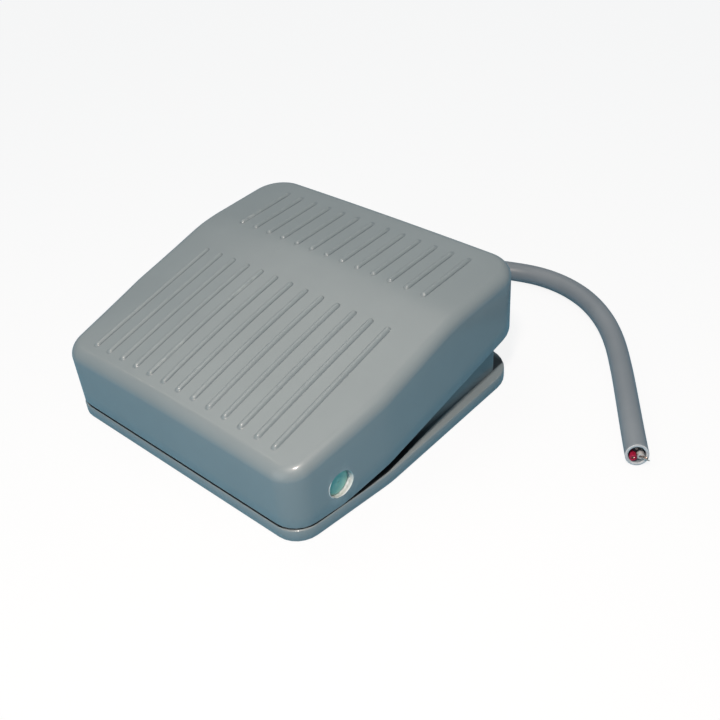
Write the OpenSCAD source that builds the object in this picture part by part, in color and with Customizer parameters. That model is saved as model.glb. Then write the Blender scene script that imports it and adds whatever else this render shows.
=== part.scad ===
// Industrial foot switch: a die-cast pedal cover that rocks on an axle over a
// low die-cast base, and works a snap-action switch. Millimetres, +Z up.
// The origin is under the middle of the body, on the surface it stands on.

/* [Base] */
// Width of the base over its parallel rear part
base_w = 104; // [96:1:120]
// Width of the base at its front edge, before the corners are rounded
base_front_w = 96.2; // [88:0.2:104]
// Length of the base, front to rear
base_len = 96.6; // [94:0.2:110]
// Length of the front part, where the sides taper
taper_len = 33.6; // [28:0.2:40]
// Radius of the front corners in plan
front_corner_r = 7.8; // [6.4:0.2:11]
// Radius of the rear corners in plan
rear_corner_r = 11.2; // [8:0.2:16]
// Height of the ledge that runs round the base
ledge_h = 4; // [3.6:0.1:5]
// Width of the ledge beside the inner wall
ledge_w = 3.5; // [3.2:0.1:4.5]
// Width of the ledge in front of the inner wall
front_ledge_w = 4.4; // [4.2:0.1:6]
// Width of the ledge behind the inner wall
rear_ledge_w = 6.5; // [5:0.5:9]
// Thickness of the inner wall
wall_t = 2.2; // [1.8:0.1:3]
// Height of the inner wall's top above the standing surface
wall_top = 16.5; // [15.5:0.5:18]
// Thickness of the floor
floor_t = 2.5; // [2:0.1:3]
// Height that the rubber feet lift the base
foot_lift = 0.5; // [0.3:0.1:1]
// Diameter of a rubber foot
foot_d = 10; // [8:0.5:12]
// Distance between the two fixing holes
fixing_span = 72; // [64:1:76]
// Diameter of a fixing hole
fixing_d = 5.5; // [4.5:0.5:6.5]

/* [Pedal] */
// Length of the pedal behind the rear edge of the base
pedal_overhang = 2.4; // [2:0.2:6]
// Distance that the pedal's sides stand in from those of the base
pedal_inset = 0.2; // [0.1:0.1:0.6]
// Thickness of the pedal's sides
pedal_t = 2.2; // [1.8:0.1:2.5]
// Thickness of the pedal's top
top_t = 2.3; // [2:0.1:2.8]
// Radius of the rolled edge between the top and the sides
roll_r = 3.4; // [3:0.2:5]
// Radius of the pedal's rear corners in plan
pedal_corner_r = 11; // [9:0.5:16]
// Height of the top face at the middle of the pedal's front edge
front_h = 24.8; // [23:0.1:27]
// Slope of the front part of the top, degrees
front_slope = 12.2; // [11:0.2:14]
// Slope of the rear part of the top, degrees
rear_slope = 1.7; // [1:0.1:5]
// Distance from the front edge to the bend in the top
bend_dist = 63.5; // [58:0.1:66]
// Angle between the pedal's lower edge and the ledge at rest, degrees
open_angle = 10; // [9:0.1:10.4]
// Height of the cushion-like swelling of the top's front part
swell_h = 1; // [0:0.1:1.5]
// Fall of the top face from its middle to the front corners
front_fall = 0.9; // [0:0.1:1.5]
// Fall of the top face from its middle to the rear corners
rear_fall = 0.35; // [0:0.05:1]

/* [Ribs] */
// Number of ribs side by side
rib_count = 13; // [9:2:13]
// Distance from rib to rib
rib_pitch = 6.25; // [5:0.05:6.4]
// Radius of a rib's rounded section
rib_r = 0.8; // [0.6:0.05:1]
// Height of a rib above the top face
rib_h = 0.6; // [0.4:0.05:0.8]
// Start of the front ribs from the pedal's front edge
front_rib_start = 5.4; // [5:0.1:9]
// Length of the front ribs along the pedal
front_rib_len = 47.3; // [30:0.1:48]
// Start of the rear ribs from the pedal's front edge
rear_rib_start = 67.6; // [67:0.1:72]
// Length of the rear ribs along the pedal
rear_rib_len = 22.5; // [14:0.1:24]

/* [Hinge] */
// Diameter of the axle
axle_d = 8; // [7:0.2:8.4]
// Distance of the axle behind the base's front edge
pivot_dist = 16.5; // [15.4:0.1:18]
// Height of the axle
pivot_h = 11.8; // [11.4:0.1:12.4]
// Radius of the pedal's bosses round the axle
boss_r = 6.9; // [6.6:0.1:7]
// Diameter of the open hole that shows the axle's end
axle_hole_d = 8.8; // [8.4:0.1:9.4]
// Depth of the axle's end inside that hole
axle_recess = 1.7; // [1.2:0.1:2.2]
// Outer diameter of the bushes
bush_d = 10.4; // [10:0.1:11]
// Running clearance of the axle in its bushes, on the radius
run_gap = 0.05; // [0.03:0.01:0.08]
// Fitting clearance between parts that don't move, on the radius
fit_gap = 0.02; // [0.01:0.01:0.04]
// Face clearance between parts that move past each other
side_gap = 0.3; // [0.2:0.05:0.4]
// Thickness of the base's axle lugs
lug_t = 4.5; // [4:0.5:6]

/* [Springs and buffers] */
// Distance of each return spring's axis from the base's side
spring_side_dist = 25; // [22:0.5:26]
// Gap between a return spring and the inner wall behind it
spring_wall_gap = 6; // [4:0.5:10]
// Mean radius of a return spring
spring_r = 5.2; // [5:0.1:6]
// Diameter of the spring wire
wire_d = 1.3; // [1:0.1:1.5]
// Number of turns in a spring
spring_turns = 7; // [5:1:8]
// Radius of the rubber buffers that stop the pedal's downward stroke
press_buffer_r = 4; // [3.5:0.5:5]
// Radius of the rubber buffers that the released pedal rests on
rest_buffer_r = 2.5; // [2:0.1:2.6]

/* [Snap switch] */
// Length of the switch body
switch_l = 27.8; // [27:0.1:28.5]
// Height of the switch body
switch_h = 15.9; // [15.6:0.1:16.1]
// Thickness of the switch body
switch_t = 10.3; // [10:0.1:11]
// Centre of the switch, sideways
switch_x = -12; // [-14:0.5:-11]
// Room for the cores between the switch's terminals and the end of the cable's jacket
wire_room = 8.4; // [7.4:0.1:9.4]
// Angle of the lever above the switch at rest, degrees
lever_angle = 12.8; // [12.4:0.1:13.2]
// Width of the lever
lever_w = 4.6; // [4:0.1:5]
// Thickness of the lever
lever_t = 0.4; // [0.3:0.05:0.5]
// Diameter of the adjusting screw
screw_d = 4; // [3:0.5:4.5]

/* [Cable] */
// Diameter of the cable
cable_d = 6.6; // [5.8:0.1:6.8]
// Height of the cable where it leaves the base
exit_h = 9.5; // [9.4:0.1:9.8]
// Length of the cable boot behind the inner wall
boot_len = 20; // [16:1:24]
// Diameter of a core of the cable
core_d = 2; // [1.6:0.1:2.2]

/* [Hidden] */
$fn = 48;

// Places along the body
overall_len = base_len + pedal_overhang;
front_y = -overall_len / 2;
rear_y = front_y + base_len;
pedal_front_y = front_y + pedal_inset;
pedal_rear_y = overall_len / 2;
bend_y = front_y + bend_dist;
bend_half = 6.5;
taper_angle = atan((base_w - base_front_w) / 2 / taper_len);
side_bend_r = 40;

// Heights in the base
floor_top = foot_lift + floor_t;
pivot_y = front_y + pivot_dist;
edge_r = pivot_h - ledge_h - side_gap;
front_edge_angle = 2;
stop_margin = 1.2;
press_angle = open_angle - stop_margin;

// Inner wall of the base
wall_rear_y = rear_y - rear_ledge_w;
wall_front_y = front_y + front_ledge_w;
wall_corner_r = 3;
lug_r = 6.5;

// Axle, from the pedal's sides inwards
function side_x(y, d) =
    y > front_y + taper_len ? base_w / 2 - d
    : base_front_w / 2 + (y - front_y) * tan(taper_angle) - d / cos(taper_angle);
cheek_x = side_x(pivot_y, pedal_inset);
axle_end_x = cheek_x - axle_recess;
bush_len = 4.2;
bush_flange_t = 0.6;
bush_out_x = axle_end_x - 0.1;
boss_in_x = bush_out_x - bush_len;
lug_out_x = boss_in_x - bush_flange_t - side_gap;
lug_in_x = lug_out_x - lug_t;
clip_t = 0.8;
clip_x = lug_in_x - 0.15 - clip_t;

// Cable inside the base
boot_flange_t = 1.6;
clamp_len = 6;
clamp_y = wall_rear_y - wall_t - boot_flange_t - 0.5 - clamp_len / 2;
strap_t = 1.2;
tail_y = clamp_y - clamp_len / 2 - 1.6;

// Snap switch and its lever
terminal_len = 6;
switch_y = tail_y - wire_room - terminal_len - switch_l;
terminal_y = switch_y + switch_l;
card_t = 0.4;
bracket_t = 1.2;
switch_z = floor_top + card_t;
switch_top = switch_z + switch_h;
cover_t = 1.4;
hole_edge = 2.8;
hole_rise = 2.9;
hole_span_y = 22.2;
hole_span_z = 10.3;
hinge_rise = 1.3;
lever_y = switch_y + hole_edge + hole_span_y;
lever_z = switch_top + hinge_rise;
lever_drop = 0.3;
lever_len = 24;
lever_pin_d = 1.2;
plunger_arm = 7.5;
plunger_d = 3;
plunger_gap = 0.1;
press_arm = 20;

// Adjusting screw, over the lever's end
tip_r = screw_d / 2;
press_y = lever_y - press_arm * cos(lever_angle);
lever_top_z = lever_z + press_arm * sin(lever_angle) + (lever_t - lever_drop) * cos(lever_angle);
tip_z = lever_top_z + 0.15;
nut_h = 2.2;
nut_af = 7;

clamp_screw_x = cable_d / 2 + 4.5;
boot_root_d = 10.6;
boot_tip_d = 8.8;
boot_neck_d = 10;
boot_end_y = wall_rear_y + boot_len;

// Free cable: its route's points, from the boot to the cut end
cable_route = [
    [0, 60.6, 9.5], [0.5, 66.3, 9.2], [2.1, 71.9, 8.3], [4.6, 77.1, 7.1], [8.1, 81.7, 5.7],
    [12.3, 85.6, 4.4], [17.2, 88.8, 3.6], [22.7, 91.3, 3.3], [28.5, 93, 3.3], [34.4, 93.6, 3.3],
    [40.3, 93.2, 3.3], [46, 91.9, 3.3], [51.4, 89.8, 3.3], [56.5, 86.9, 3.3], [61.3, 83.4, 3.3],
    [65.8, 79.4, 3.3], [69.9, 75, 3.3], [73.8, 70.3, 3.3], [77.4, 65.4, 3.3], [81, 60.5, 3.3],
    [84.4, 55.6, 3.3], [87.8, 50.7, 3.3], [91.1, 45.9, 3.3], [94.4, 41.1, 3.3], [97.8, 36.2, 3.3],
    [101.2, 31.4, 3.3]
];

// ---------- outlines ----------

// Right half of a plan outline, front to rear: the base's sides moved in by d,
// between the lines y_f and y_r, with corner radii r_f and r_r. Stations are extra points
// along the side, and columns are extra points along both ends, as shares of their length.
function half_plan(d, y_f, y_r, r_f, r_r, stations = [], columns = []) =
    let (
        a = taper_angle,
        corner_x = side_x(y_f, d) - r_f * (1 - sin(a)) / cos(a),
        bend_r = side_bend_r - d,
        bend_c = front_y + taper_len + side_bend_r * tan(a / 2)
    )
    concat(
        [for (c = columns) [c * corner_x, y_f]],
        [for (i = [0:6]) let (t = -90 + (90 - a) * i / 6)
            [corner_x + r_f * cos(t), y_f + r_f + r_f * sin(t)]],
        [for (i = [0:2]) let (t = -a + a * i / 2)
            [base_w / 2 - d - bend_r + bend_r * cos(t), bend_c + bend_r * sin(t)]],
        [for (y = stations) [base_w / 2 - d, y]],
        [for (i = [0:8]) let (t = 90 * i / 8)
            [base_w / 2 - d - r_r + r_r * cos(t), y_r - r_r + r_r * sin(t)]],
        [for (i = [len(columns) - 1:-1:0]) [columns[i] * (base_w / 2 - d - r_r), y_r]]
    );

// Whole outline, anticlockwise, from its right half
function mirror_plan(half) =
    concat(half, [for (i = [len(half) - 1:-1:0]) [-half[i][0], half[i][1]]]);

// Solid through rings of equal point counts, with strips across both ends
module loft(rings) {
    n = len(rings[0]);
    m = n / 2;
    last = (len(rings) - 1) * n;
    polyhedron(
        points = [for (ring = rings) for (p = ring) p],
        faces = concat(
            [for (i = [0:m - 2]) [i, i + 1, n - 2 - i, n - 1 - i]],
            [for (k = [0:len(rings) - 2]) for (i = [0:n - 1])
                [k * n + i, (k + 1) * n + i, (k + 1) * n + (i + 1) % n, k * n + (i + 1) % n]],
            [for (i = [0:m - 2]) [last + n - 1 - i, last + n - 2 - i, last + i + 1, last + i]]
        ),
        convexity = 6
    );
}

// Shell through rings that run up the outside and down the inside. Rows of points across the
// top join the right half of ring [top] with its left half, and the same under the top.
module shell(rings, top) {
    n = len(rings[0]);
    m = n / 2;
    count = len(rings);
    first = len(columns);
    last = m - 1 - first;
    row_len = column_count + 2;
    // Number of the point in row i, column c, from the left; start is the ring's first point
    // and inside is the first point that the rings don't have
    function at(i, c, start, inside) =
        c == 0 ? start + n - 1 - i
        : c == row_len - 1 ? start + i
        : i == first ? start + (c <= first ? n - 1 - first + c : c - first - 1)
        : i == last ? start + m + first - c
        : inside + (i - first - 1) * column_count + c - 1;
    // Shares of a row's half width at the columns
    shares = concat([for (i = [first - 1:-1:0]) -columns[i]], columns);
    function inside_points(ring) =
        [for (i = [first + 1:last - 1]) for (c = shares) let (x = c * ring[i][0], y = ring[i][1])
            [x, y, ring[i][2] + top_z(y, x) - top_z(y, ring[i][0])]];
    outer_points = inside_points(rings[top]);
    outer_start = count * n;
    inner_start = outer_start + len(outer_points);
    polyhedron(
        points = concat(
            [for (ring = rings) for (p = ring) p], outer_points, inside_points(rings[top + 1])
        ),
        faces = concat(
            [for (k = [0:count - 1]) if (k != top) for (i = [0:n - 1])
                let (a = k * n, b = (k + 1) % count * n, j = (i + 1) % n)
                each [[a + i, b + i, b + j], [a + i, b + j, a + j]]],
            [for (i = [first:last - 1]) for (c = [0:row_len - 2])
                let (
                    a = at(i, c, top * n, outer_start), b = at(i + 1, c, top * n, outer_start),
                    e = at(i + 1, c + 1, top * n, outer_start),
                    f = at(i, c + 1, top * n, outer_start)
                )
                each [[a, b, e], [a, e, f]]],
            [for (i = [first:last - 1]) for (c = [0:row_len - 2])
                let (
                    a = at(i, c, (top + 1) * n, inner_start),
                    b = at(i + 1, c, (top + 1) * n, inner_start),
                    e = at(i + 1, c + 1, (top + 1) * n, inner_start),
                    f = at(i, c + 1, (top + 1) * n, inner_start)
                )
                each [[a, e, b], [a, f, e]]]
        ),
        convexity = 10
    );
}

// Tube swept along a route: rings stand square to the route's direction, and r is one radius
// or a list of one for each point
module sweep(route, r, sides, start_dir, end_dir) {
    last = len(route) - 1;
    dirs = [for (i = [0:last])
        i == 0 ? start_dir : i == last ? end_dir : unit(route[i + 1] - route[i - 1])];
    rings = [for (i = [0:last])
        let (u = unit(cross(dirs[i], [0, 0, 1])), v = cross(u, dirs[i]))
        for (k = [0:sides - 1])
            route[i] + (is_list(r) ? r[i] : r)
                * (cos(360 * k / sides) * u + sin(360 * k / sides) * v)];
    polyhedron(
        points = rings,
        faces = concat(
            [[for (k = [sides - 1:-1:0]) k]],
            [for (i = [0:last - 1]) for (k = [0:sides - 1])
                let (a = i * sides, b = a + sides, j = (k + 1) % sides)
                each [[a + k, b + j, b + k], [a + k, a + j, b + j]]],
            [[for (k = [0:sides - 1]) last * sides + k]]
        ),
        convexity = 6
    );
}
function unit(v) = v / norm(v);

// Cylinder along X from x0 to x1
module rod_x(x0, x1, y, z, r) {
    translate([x0, y, z]) rotate([0, 90, 0]) cylinder(r = r, h = x1 - x0);
}

// Same on the left and on the right
module both_sides() {
    children();
    mirror([1, 0, 0]) children();
}

// ---------- pedal ----------

// Height of the pedal's top face: two slopes with a soft bend between them, a cushion-like
// swelling of the front part, and a fall towards both sides
function top_z(y, x = 0) =
    let (
        side = pow(x / (base_w / 2 - 7), 2),
        along = (y - pedal_front_y) / overall_len,
        swell = swell_h * sin(180 * max(0, min(1, (y - front_y) / (bend_dist - 2)))),
        fall = front_fall + (rear_fall - front_fall) * along
    )
    spine_z(y) + swell * (1 - 1.4 * side) - fall * side;
function spine_z(y) =
    let (
        a = front_h + (y - pedal_front_y) * tan(front_slope),
        bend = front_h + (bend_y - pedal_front_y) * tan(front_slope),
        b = bend + (y - bend_y) * tan(rear_slope),
        s = y - bend_y + bend_half
    )
    y < bend_y - bend_half ? a
    : y > bend_y + bend_half ? b
    : a + (tan(rear_slope) - tan(front_slope)) * s * s / 4 / bend_half;

// Height of the pedal's lower edge at y: a shallow V with its point under the axle
function low_z(y) =
    let (s = y - pivot_y, a = s > 0 ? open_angle : front_edge_angle)
    pivot_h - edge_r / cos(a) + abs(s) * tan(a);

straight_y = front_y + taper_len + 4;
pedal_stations = concat(
    [for (i = [1:2]) straight_y + (bend_y - bend_half - straight_y) * i / 3],
    [for (i = [0:4]) bend_y - bend_half + bend_half * i / 2],
    [bend_y + bend_half + 10]
);
columns = [0.2, 0.6];
column_count = 2 * len(columns);
corner_end = len(columns) + 6;

// Plan ring of the pedal, d inside its outer face
function pedal_plan(d) =
    half_plan(
        pedal_inset + d, pedal_front_y + d, pedal_rear_y - d,
        front_corner_r - d, pedal_corner_r - d, pedal_stations, columns
    );

// The same with points of the taper, one beside the axle, where the V of the lower edge turns
function pedal_ring(d) =
    let (half = pedal_plan(d), side = pedal_inset + d)
    mirror_plan(concat(
        [for (i = [0:corner_end]) half[i]],
        [for (y = [pivot_y, pivot_y + 6, pivot_y + 12]) [side_x(y, side), y]],
        [for (i = [corner_end + 1:len(half) - 1]) half[i]]
    ));

roll_steps = 6;
inner_roll_r = roll_r - pedal_t;
inner_steps = 4;

// Ring of the pedal d inside its outer face and t below the top face
function top_ring(d, t) = [for (p = pedal_ring(d)) [p[0], p[1], top_z(p[1], p[0]) - t]];
function low_ring(d) = [for (p = pedal_ring(d)) [p[0], p[1], low_z(p[1])]];

module pedal_shell() {
    shell(
        concat(
            [low_ring(0)],
            [for (k = [0:roll_steps]) let (t = 90 * k / roll_steps)
                top_ring(roll_r * (1 - cos(t)), roll_r * (1 - sin(t)))],
            [for (k = [inner_steps:-1:0]) let (t = 90 * k / inner_steps)
                top_ring(pedal_t + inner_roll_r * (1 - cos(t)),
                    top_t + inner_roll_r * (1 - sin(t)))],
            [low_ring(pedal_t)]
        ),
        roll_steps + 1
    );
}

// One rib: a rounded bar with round ends that follows the top, sunk so that rib_h of it shows
module rib(x, start, run, parts) {
    y0 = pedal_front_y + start;
    ends = [[0.02, 0.2], [0.35, 0.76], [1, 1]];
    places = concat(
        [for (e = ends) [y0 + e[0] * rib_r, e[1]]],
        [for (i = [1:parts - 1]) [y0 + rib_r + (run - 2 * rib_r) * i / parts, 1]],
        [for (i = [2:-1:0]) [y0 + run - ends[i][0] * rib_r, ends[i][1]]]
    );
    sweep([for (p = places) [x, p[0], top_z(p[0], x) + rib_h - rib_r]],
        [for (p = places) rib_r * p[1]], 10, [0, 1, 0], [0, 1, 0]);
}

// Peg that hangs from the pedal's top down to z
module peg(x, y, z, r) {
    translate([x, y, z]) cylinder(r = r, h = top_z(y, x) - top_t / 2 - z);
}

// Place of the pedal's point that reaches [y, z] when the pedal is fully down
function lifted(y, z) =
    let (c = cos(press_angle), s = sin(press_angle), u = y - pivot_y, w = z - pivot_h)
    [pivot_y + u * c - w * s, pivot_h + u * s + w * c];

skirt_bevel = 0.3;
foot_side_dist = 12;
foot_x = base_w / 2 - foot_side_dist;
foot_front_y = front_y + 12;
foot_rear_y = rear_y - 13;
foot_boss_r = foot_d / 2 + 1.5;
fixing_y = front_y + 36;
spring_x = base_w / 2 - spring_side_dist;
spring_y = wall_rear_y - wall_t - spring_wall_gap - spring_r - wire_d / 2;
buffer_foot_gap = 7;
buffer_x = 24;
rest_peg_r = rest_buffer_r - 0.3;
rest_buffer_y = wall_front_y + wall_t + 0.3 + rest_buffer_r;
rest_buffer_top = 11;
press_peg_r = press_buffer_r - 1;
press_buffer_x = base_w / 2 - 13;
press_buffer_y = foot_rear_y - foot_boss_r - buffer_foot_gap - press_buffer_r;
press_buffer_top = 10;
press_peg = lifted(press_buffer_y, press_buffer_top + side_gap + press_peg_r * tan(press_angle));
screw_boss_r = 4.6;
screw_boss_z = tip_z + 1.1 + nut_h + 0.05;
web_x = 18.2;
web_t = 1.6;
web_depth = 2.6;
notch_r = 7.4;
notch_top = lifted(pedal_rear_y, exit_h + boot_root_d / 2 + 1.4)[1];

module webs() {
    for (side = [-1, 1]) for (part = [[14, 54, front_slope], [70, 94, rear_slope]]) {
        y = front_y + part[0];
        length = (part[1] - part[0]) / cos(part[2]);
        translate([side * web_x - web_t / 2, y, top_z(y, web_x) - top_t]) rotate([part[2], 0, 0])
            translate([0, 0, -web_depth]) cube([web_t, length, web_depth + 1]);
    }
}

module pedal_cover() {
    color("slategray") difference() {
        union() {
            pedal_shell();
            for (i = [0:rib_count - 1]) {
                x = (i - (rib_count - 1) / 2) * rib_pitch;
                rib(x, front_rib_start, front_rib_len, 5);
                rib(x, rear_rib_start, rear_rib_len, 1);
            }
            both_sides() {
                rod_x(boss_in_x, cheek_x - 1, pivot_y, pivot_h, boss_r);
                peg(buffer_x, rest_buffer_y, rest_buffer_top + side_gap, rest_peg_r);
                peg(press_buffer_x, press_peg[0], press_peg[1], press_peg_r);
                peg(spring_x, spring_y, top_z(spring_y, spring_x) - top_t - 5, spring_peg_r);
            }
            peg(switch_x, press_y, screw_boss_z, screw_boss_r);
            webs();
        }
        both_sides() {
            rod_x(boss_in_x - 1, bush_out_x, pivot_y, pivot_h, bush_d / 2 + fit_gap);
            rod_x(bush_out_x - 1, cheek_x + 2, pivot_y, pivot_h, axle_hole_d / 2);
        }
        translate([switch_x, press_y, screw_boss_z - 1])
            cylinder(r = screw_d / 2 + fit_gap, h = 1 + 3);
        translate([0, pedal_rear_y + 1, notch_top - notch_r]) rotate([90, 0, 0])
            cylinder(r = notch_r, h = pedal_t + 2);
        translate([-notch_r, pedal_rear_y - pedal_t - 1, 0])
            cube([2 * notch_r, pedal_t + 2, notch_top - notch_r]);
    }
}

module pivot_bushes() {
    color("ivory") both_sides() difference() {
        union() {
            rod_x(boss_in_x, bush_out_x, pivot_y, pivot_h, bush_d / 2);
            rod_x(boss_in_x - bush_flange_t, boss_in_x, pivot_y, pivot_h, boss_r - 0.4);
        }
        rod_x(boss_in_x - 2, bush_out_x + 1, pivot_y, pivot_h, axle_d / 2 + run_gap);
    }
}

module adjusting_screw() {
    length = screw_boss_z + 2.8 - tip_z;
    color("silver") translate([switch_x, press_y, tip_z]) difference() {
        union() {
            translate([0, 0, tip_r]) sphere(tip_r);
            translate([0, 0, tip_r]) cylinder(d = screw_d, h = length - tip_r);
        }
        translate([0, 0, length - 1.6]) cylinder(r = 1.1, h = 2, $fn = 6);
    }
}

module adjusting_nut() {
    color("gainsboro") translate([switch_x, press_y, screw_boss_z - 0.05 - nut_h]) difference() {
        cylinder(r = nut_af / 2 / cos(30), h = nut_h, $fn = 6);
        translate([0, 0, -1]) cylinder(r = screw_d / 2 + fit_gap, h = nut_h + 2);
    }
}

// ---------- base ----------

function base_ring(d, z) =
    [for (p = mirror_plan(half_plan(
        d, front_y + d, rear_y - d, front_corner_r - d, rear_corner_r - d)))
        [p[0], p[1], z]];

module wall_outline(d) {
    polygon(mirror_plan(half_plan(
        ledge_w + d, wall_front_y + d, wall_rear_y - d,
        front_corner_r - ledge_w - d, wall_corner_r - d / 2)));
}

foot_depth = 1.4;
spring_peg_r = spring_r - wire_d / 2 - 0.7;
pad_top = floor_top + 2;
bracket_screw_x = switch_x - switch_t / 2 - card_t - bracket_t - 6.2;
bracket_screw_ys = [switch_y + 11, switch_y + 22];
clamp_seat_z = exit_h - cable_d / 2;

module base_casting() {
    color("lightslategray") difference() {
        union() {
            difference() {
                union() {
                    loft([
                        base_ring(skirt_bevel, foot_lift), base_ring(0, foot_lift + skirt_bevel),
                        base_ring(0, ledge_h - 0.5), base_ring(0.15, ledge_h - 0.15),
                        base_ring(0.5, ledge_h)
                    ]);
                    translate([0, 0, foot_lift + 1])
                        linear_extrude(wall_top - foot_lift - 1) wall_outline(0);
                }
                translate([0, 0, floor_top]) linear_extrude(wall_top) wall_outline(wall_t);
                both_sides() translate([lug_out_x, pivot_y - boss_r - 1, ledge_h])
                    cube([12, 2 * boss_r + 2, wall_top]);
            }
            both_sides() {
                rod_x(lug_in_x, lug_out_x, pivot_y, pivot_h, lug_r);
                translate([lug_in_x, pivot_y - lug_r, floor_top - 0.5])
                    cube([lug_t, 2 * lug_r, pivot_h - floor_top + 0.5]);
                translate([spring_x, spring_y, floor_top - 0.5])
                    cylinder(r = spring_peg_r, h = 4.5);
                for (y = [foot_front_y, foot_rear_y]) translate([foot_x, y, floor_top - 1])
                    cylinder(r = foot_boss_r, h = 2);
            }
            for (y = bracket_screw_ys) translate([bracket_screw_x, y, floor_top - 0.5])
                cylinder(r = 4, h = pad_top - floor_top + 0.5);
            translate([-clamp_screw_x - 3.2, clamp_y - clamp_len / 2, floor_top - 0.5])
                cube([2 * clamp_screw_x + 6.4, clamp_len, clamp_seat_z + 1 - floor_top]);
        }
        both_sides() {
            rod_x(lug_in_x - 1, lug_out_x + 1, pivot_y, pivot_h, axle_d / 2 + fit_gap);
            for (y = [foot_front_y, foot_rear_y]) translate([foot_x, y, -1])
                cylinder(r = foot_d / 2 + fit_gap, h = 1 + foot_lift + foot_depth);
            translate([fixing_span / 2, fixing_y, -1]) cylinder(d = fixing_d, h = ledge_h + 3);
            translate([clamp_screw_x, clamp_y, floor_top])
                cylinder(r = 1.5 + fit_gap, h = 10);
        }
        for (y = bracket_screw_ys) translate([bracket_screw_x, y, foot_lift + 1.2])
            cylinder(r = 1.5 + fit_gap, h = 10);
        translate([0, clamp_y - clamp_len, exit_h]) rotate([-90, 0, 0])
            cylinder(r = cable_d / 2 + run_gap, h = 2 * clamp_len);
        translate([0, wall_rear_y + 1, exit_h]) rotate([90, 0, 0])
            cylinder(r = boot_neck_d / 2 + fit_gap, h = wall_t + 2);
    }
}

module rubber_feet() {
    color("dimgray") both_sides() for (y = [foot_front_y, foot_rear_y])
        translate([foot_x, y, 0]) {
            cylinder(d1 = foot_d - 1, d2 = foot_d, h = foot_lift);
            translate([0, 0, foot_lift]) cylinder(d = foot_d, h = foot_depth - fit_gap);
        }
}

module pivot_axle() {
    color("darkseagreen") difference() {
        union() {
            rod_x(-axle_end_x + 0.5, axle_end_x - 0.5, pivot_y, pivot_h, axle_d / 2);
            both_sides() translate([axle_end_x - 0.5, pivot_y, pivot_h]) rotate([0, 90, 0])
                cylinder(r1 = axle_d / 2, r2 = axle_d / 2 - 0.5, h = 0.5);
        }
        both_sides() difference() {
            rod_x(clip_x - 0.1, clip_x + clip_t + 0.1, pivot_y, pivot_h, axle_d);
            rod_x(clip_x - 1, clip_x + clip_t + 1, pivot_y, pivot_h, clip_bore_r - fit_gap);
        }
    }
}
clip_bore_r = axle_d / 2 - 0.7;

module axle_clips() {
    color("gray") both_sides() translate([clip_x, pivot_y, pivot_h]) rotate([0, 90, 0])
        difference() {
            cylinder(r = axle_d / 2 + 2, h = clip_t);
            translate([0, 0, -1]) cylinder(r = clip_bore_r, h = clip_t + 2);
            translate([-axle_d, -clip_bore_r * 0.8, -1])
                cube([axle_d, clip_bore_r * 1.6, clip_t + 2]);
        }
}

module buffer(x, y, top, r) {
    translate([x, y, floor_top]) cylinder(r = r, h = top - floor_top - 0.8);
    translate([x, y, top - 0.8]) cylinder(r1 = r, r2 = r - 0.8, h = 0.8);
}

module rest_buffers() {
    color("dimgray") both_sides()
        buffer(buffer_x, rest_buffer_y, rest_buffer_top, rest_buffer_r);
}

module press_buffers() {
    color("dimgray") both_sides()
        buffer(press_buffer_x, press_buffer_y, press_buffer_top, press_buffer_r);
}

// Coils with closed end turns
module return_springs() {
    steps = 12;
    z0 = floor_top + wire_d / 2;
    z1 = top_z(spring_y, spring_x) - top_t - wire_d / 2 - side_gap;
    ends = 0.75 * wire_d;
    rise = (z1 - z0 - 2 * ends) / (spring_turns - 2);
    route = [for (i = [0:spring_turns * steps]) let (s = i / steps, a = 360 * s)
        [spring_r * cos(a), spring_r * sin(a),
            z0 + (s < 1 ? ends * s : s > spring_turns - 1 ? z1 - z0 - ends * (spring_turns - s)
                : ends + rise * (s - 1))]];
    color("silver") both_sides() translate([spring_x, spring_y, 0])
        sweep(route, wire_d / 2, 8, [0, 1, 0], [0, 1, 0]);
}

// ---------- snap switch ----------

case_x0 = switch_x - switch_t / 2;
case_x1 = switch_x + switch_t / 2;
split_x = case_x1 - cover_t;
plunger_y = lever_y - plunger_arm * cos(lever_angle);
plunger_top = lever_z + plunger_arm * sin(lever_angle) - lever_drop / cos(lever_angle) - plunger_gap
    - plunger_d / 2 * tan(lever_angle);
plunger_travel = 1.2;
plunger_base = switch_top - 4.6;

module switch_holes(x0, x1, r) {
    rod_x(x0, x1, switch_y + hole_edge, switch_z + hole_rise, r);
    rod_x(x0, x1, switch_y + hole_edge + hole_span_y, switch_z + hole_rise + hole_span_z, r);
}

module switch_case() {
    ear_t = 1.2;
    color("#3a3533") difference() {
        union() {
            translate([case_x0, switch_y, switch_z])
                cube([split_x - case_x0, switch_l, switch_h]);
            for (x = [switch_x - lever_w / 2 - 0.2 - ear_t, switch_x + lever_w / 2 + 0.2]) {
                rod_x(x, x + ear_t, lever_y, lever_z, 1.4);
                translate([x, lever_y - 1.4, switch_top - 0.5]) cube([ear_t, 2.8, hinge_rise + 0.5]);
            }
            translate([switch_x, plunger_y, switch_top - 0.5]) cylinder(r = 2.6, h = 0.9);
        }
        switch_holes(case_x0 - 1, case_x1 + 1, 1.55);
        rod_x(case_x0 - 1, case_x1 + 1, lever_y, lever_z, lever_pin_d / 2 + fit_gap);
        translate([switch_x, plunger_y, plunger_base - plunger_travel - 0.2])
            cylinder(r = plunger_d / 2 + run_gap, h = 20);
    }
}

module switch_cover() {
    color("#4a4441") difference() {
        translate([split_x, switch_y, switch_z]) cube([cover_t, switch_l, switch_h]);
        switch_holes(case_x0 - 1, case_x1 + 1, 1.55);
    }
}

module switch_plunger() {
    color("firebrick") translate([switch_x, plunger_y, plunger_base])
        cylinder(d = plunger_d, h = plunger_top - plunger_base);
}

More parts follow.
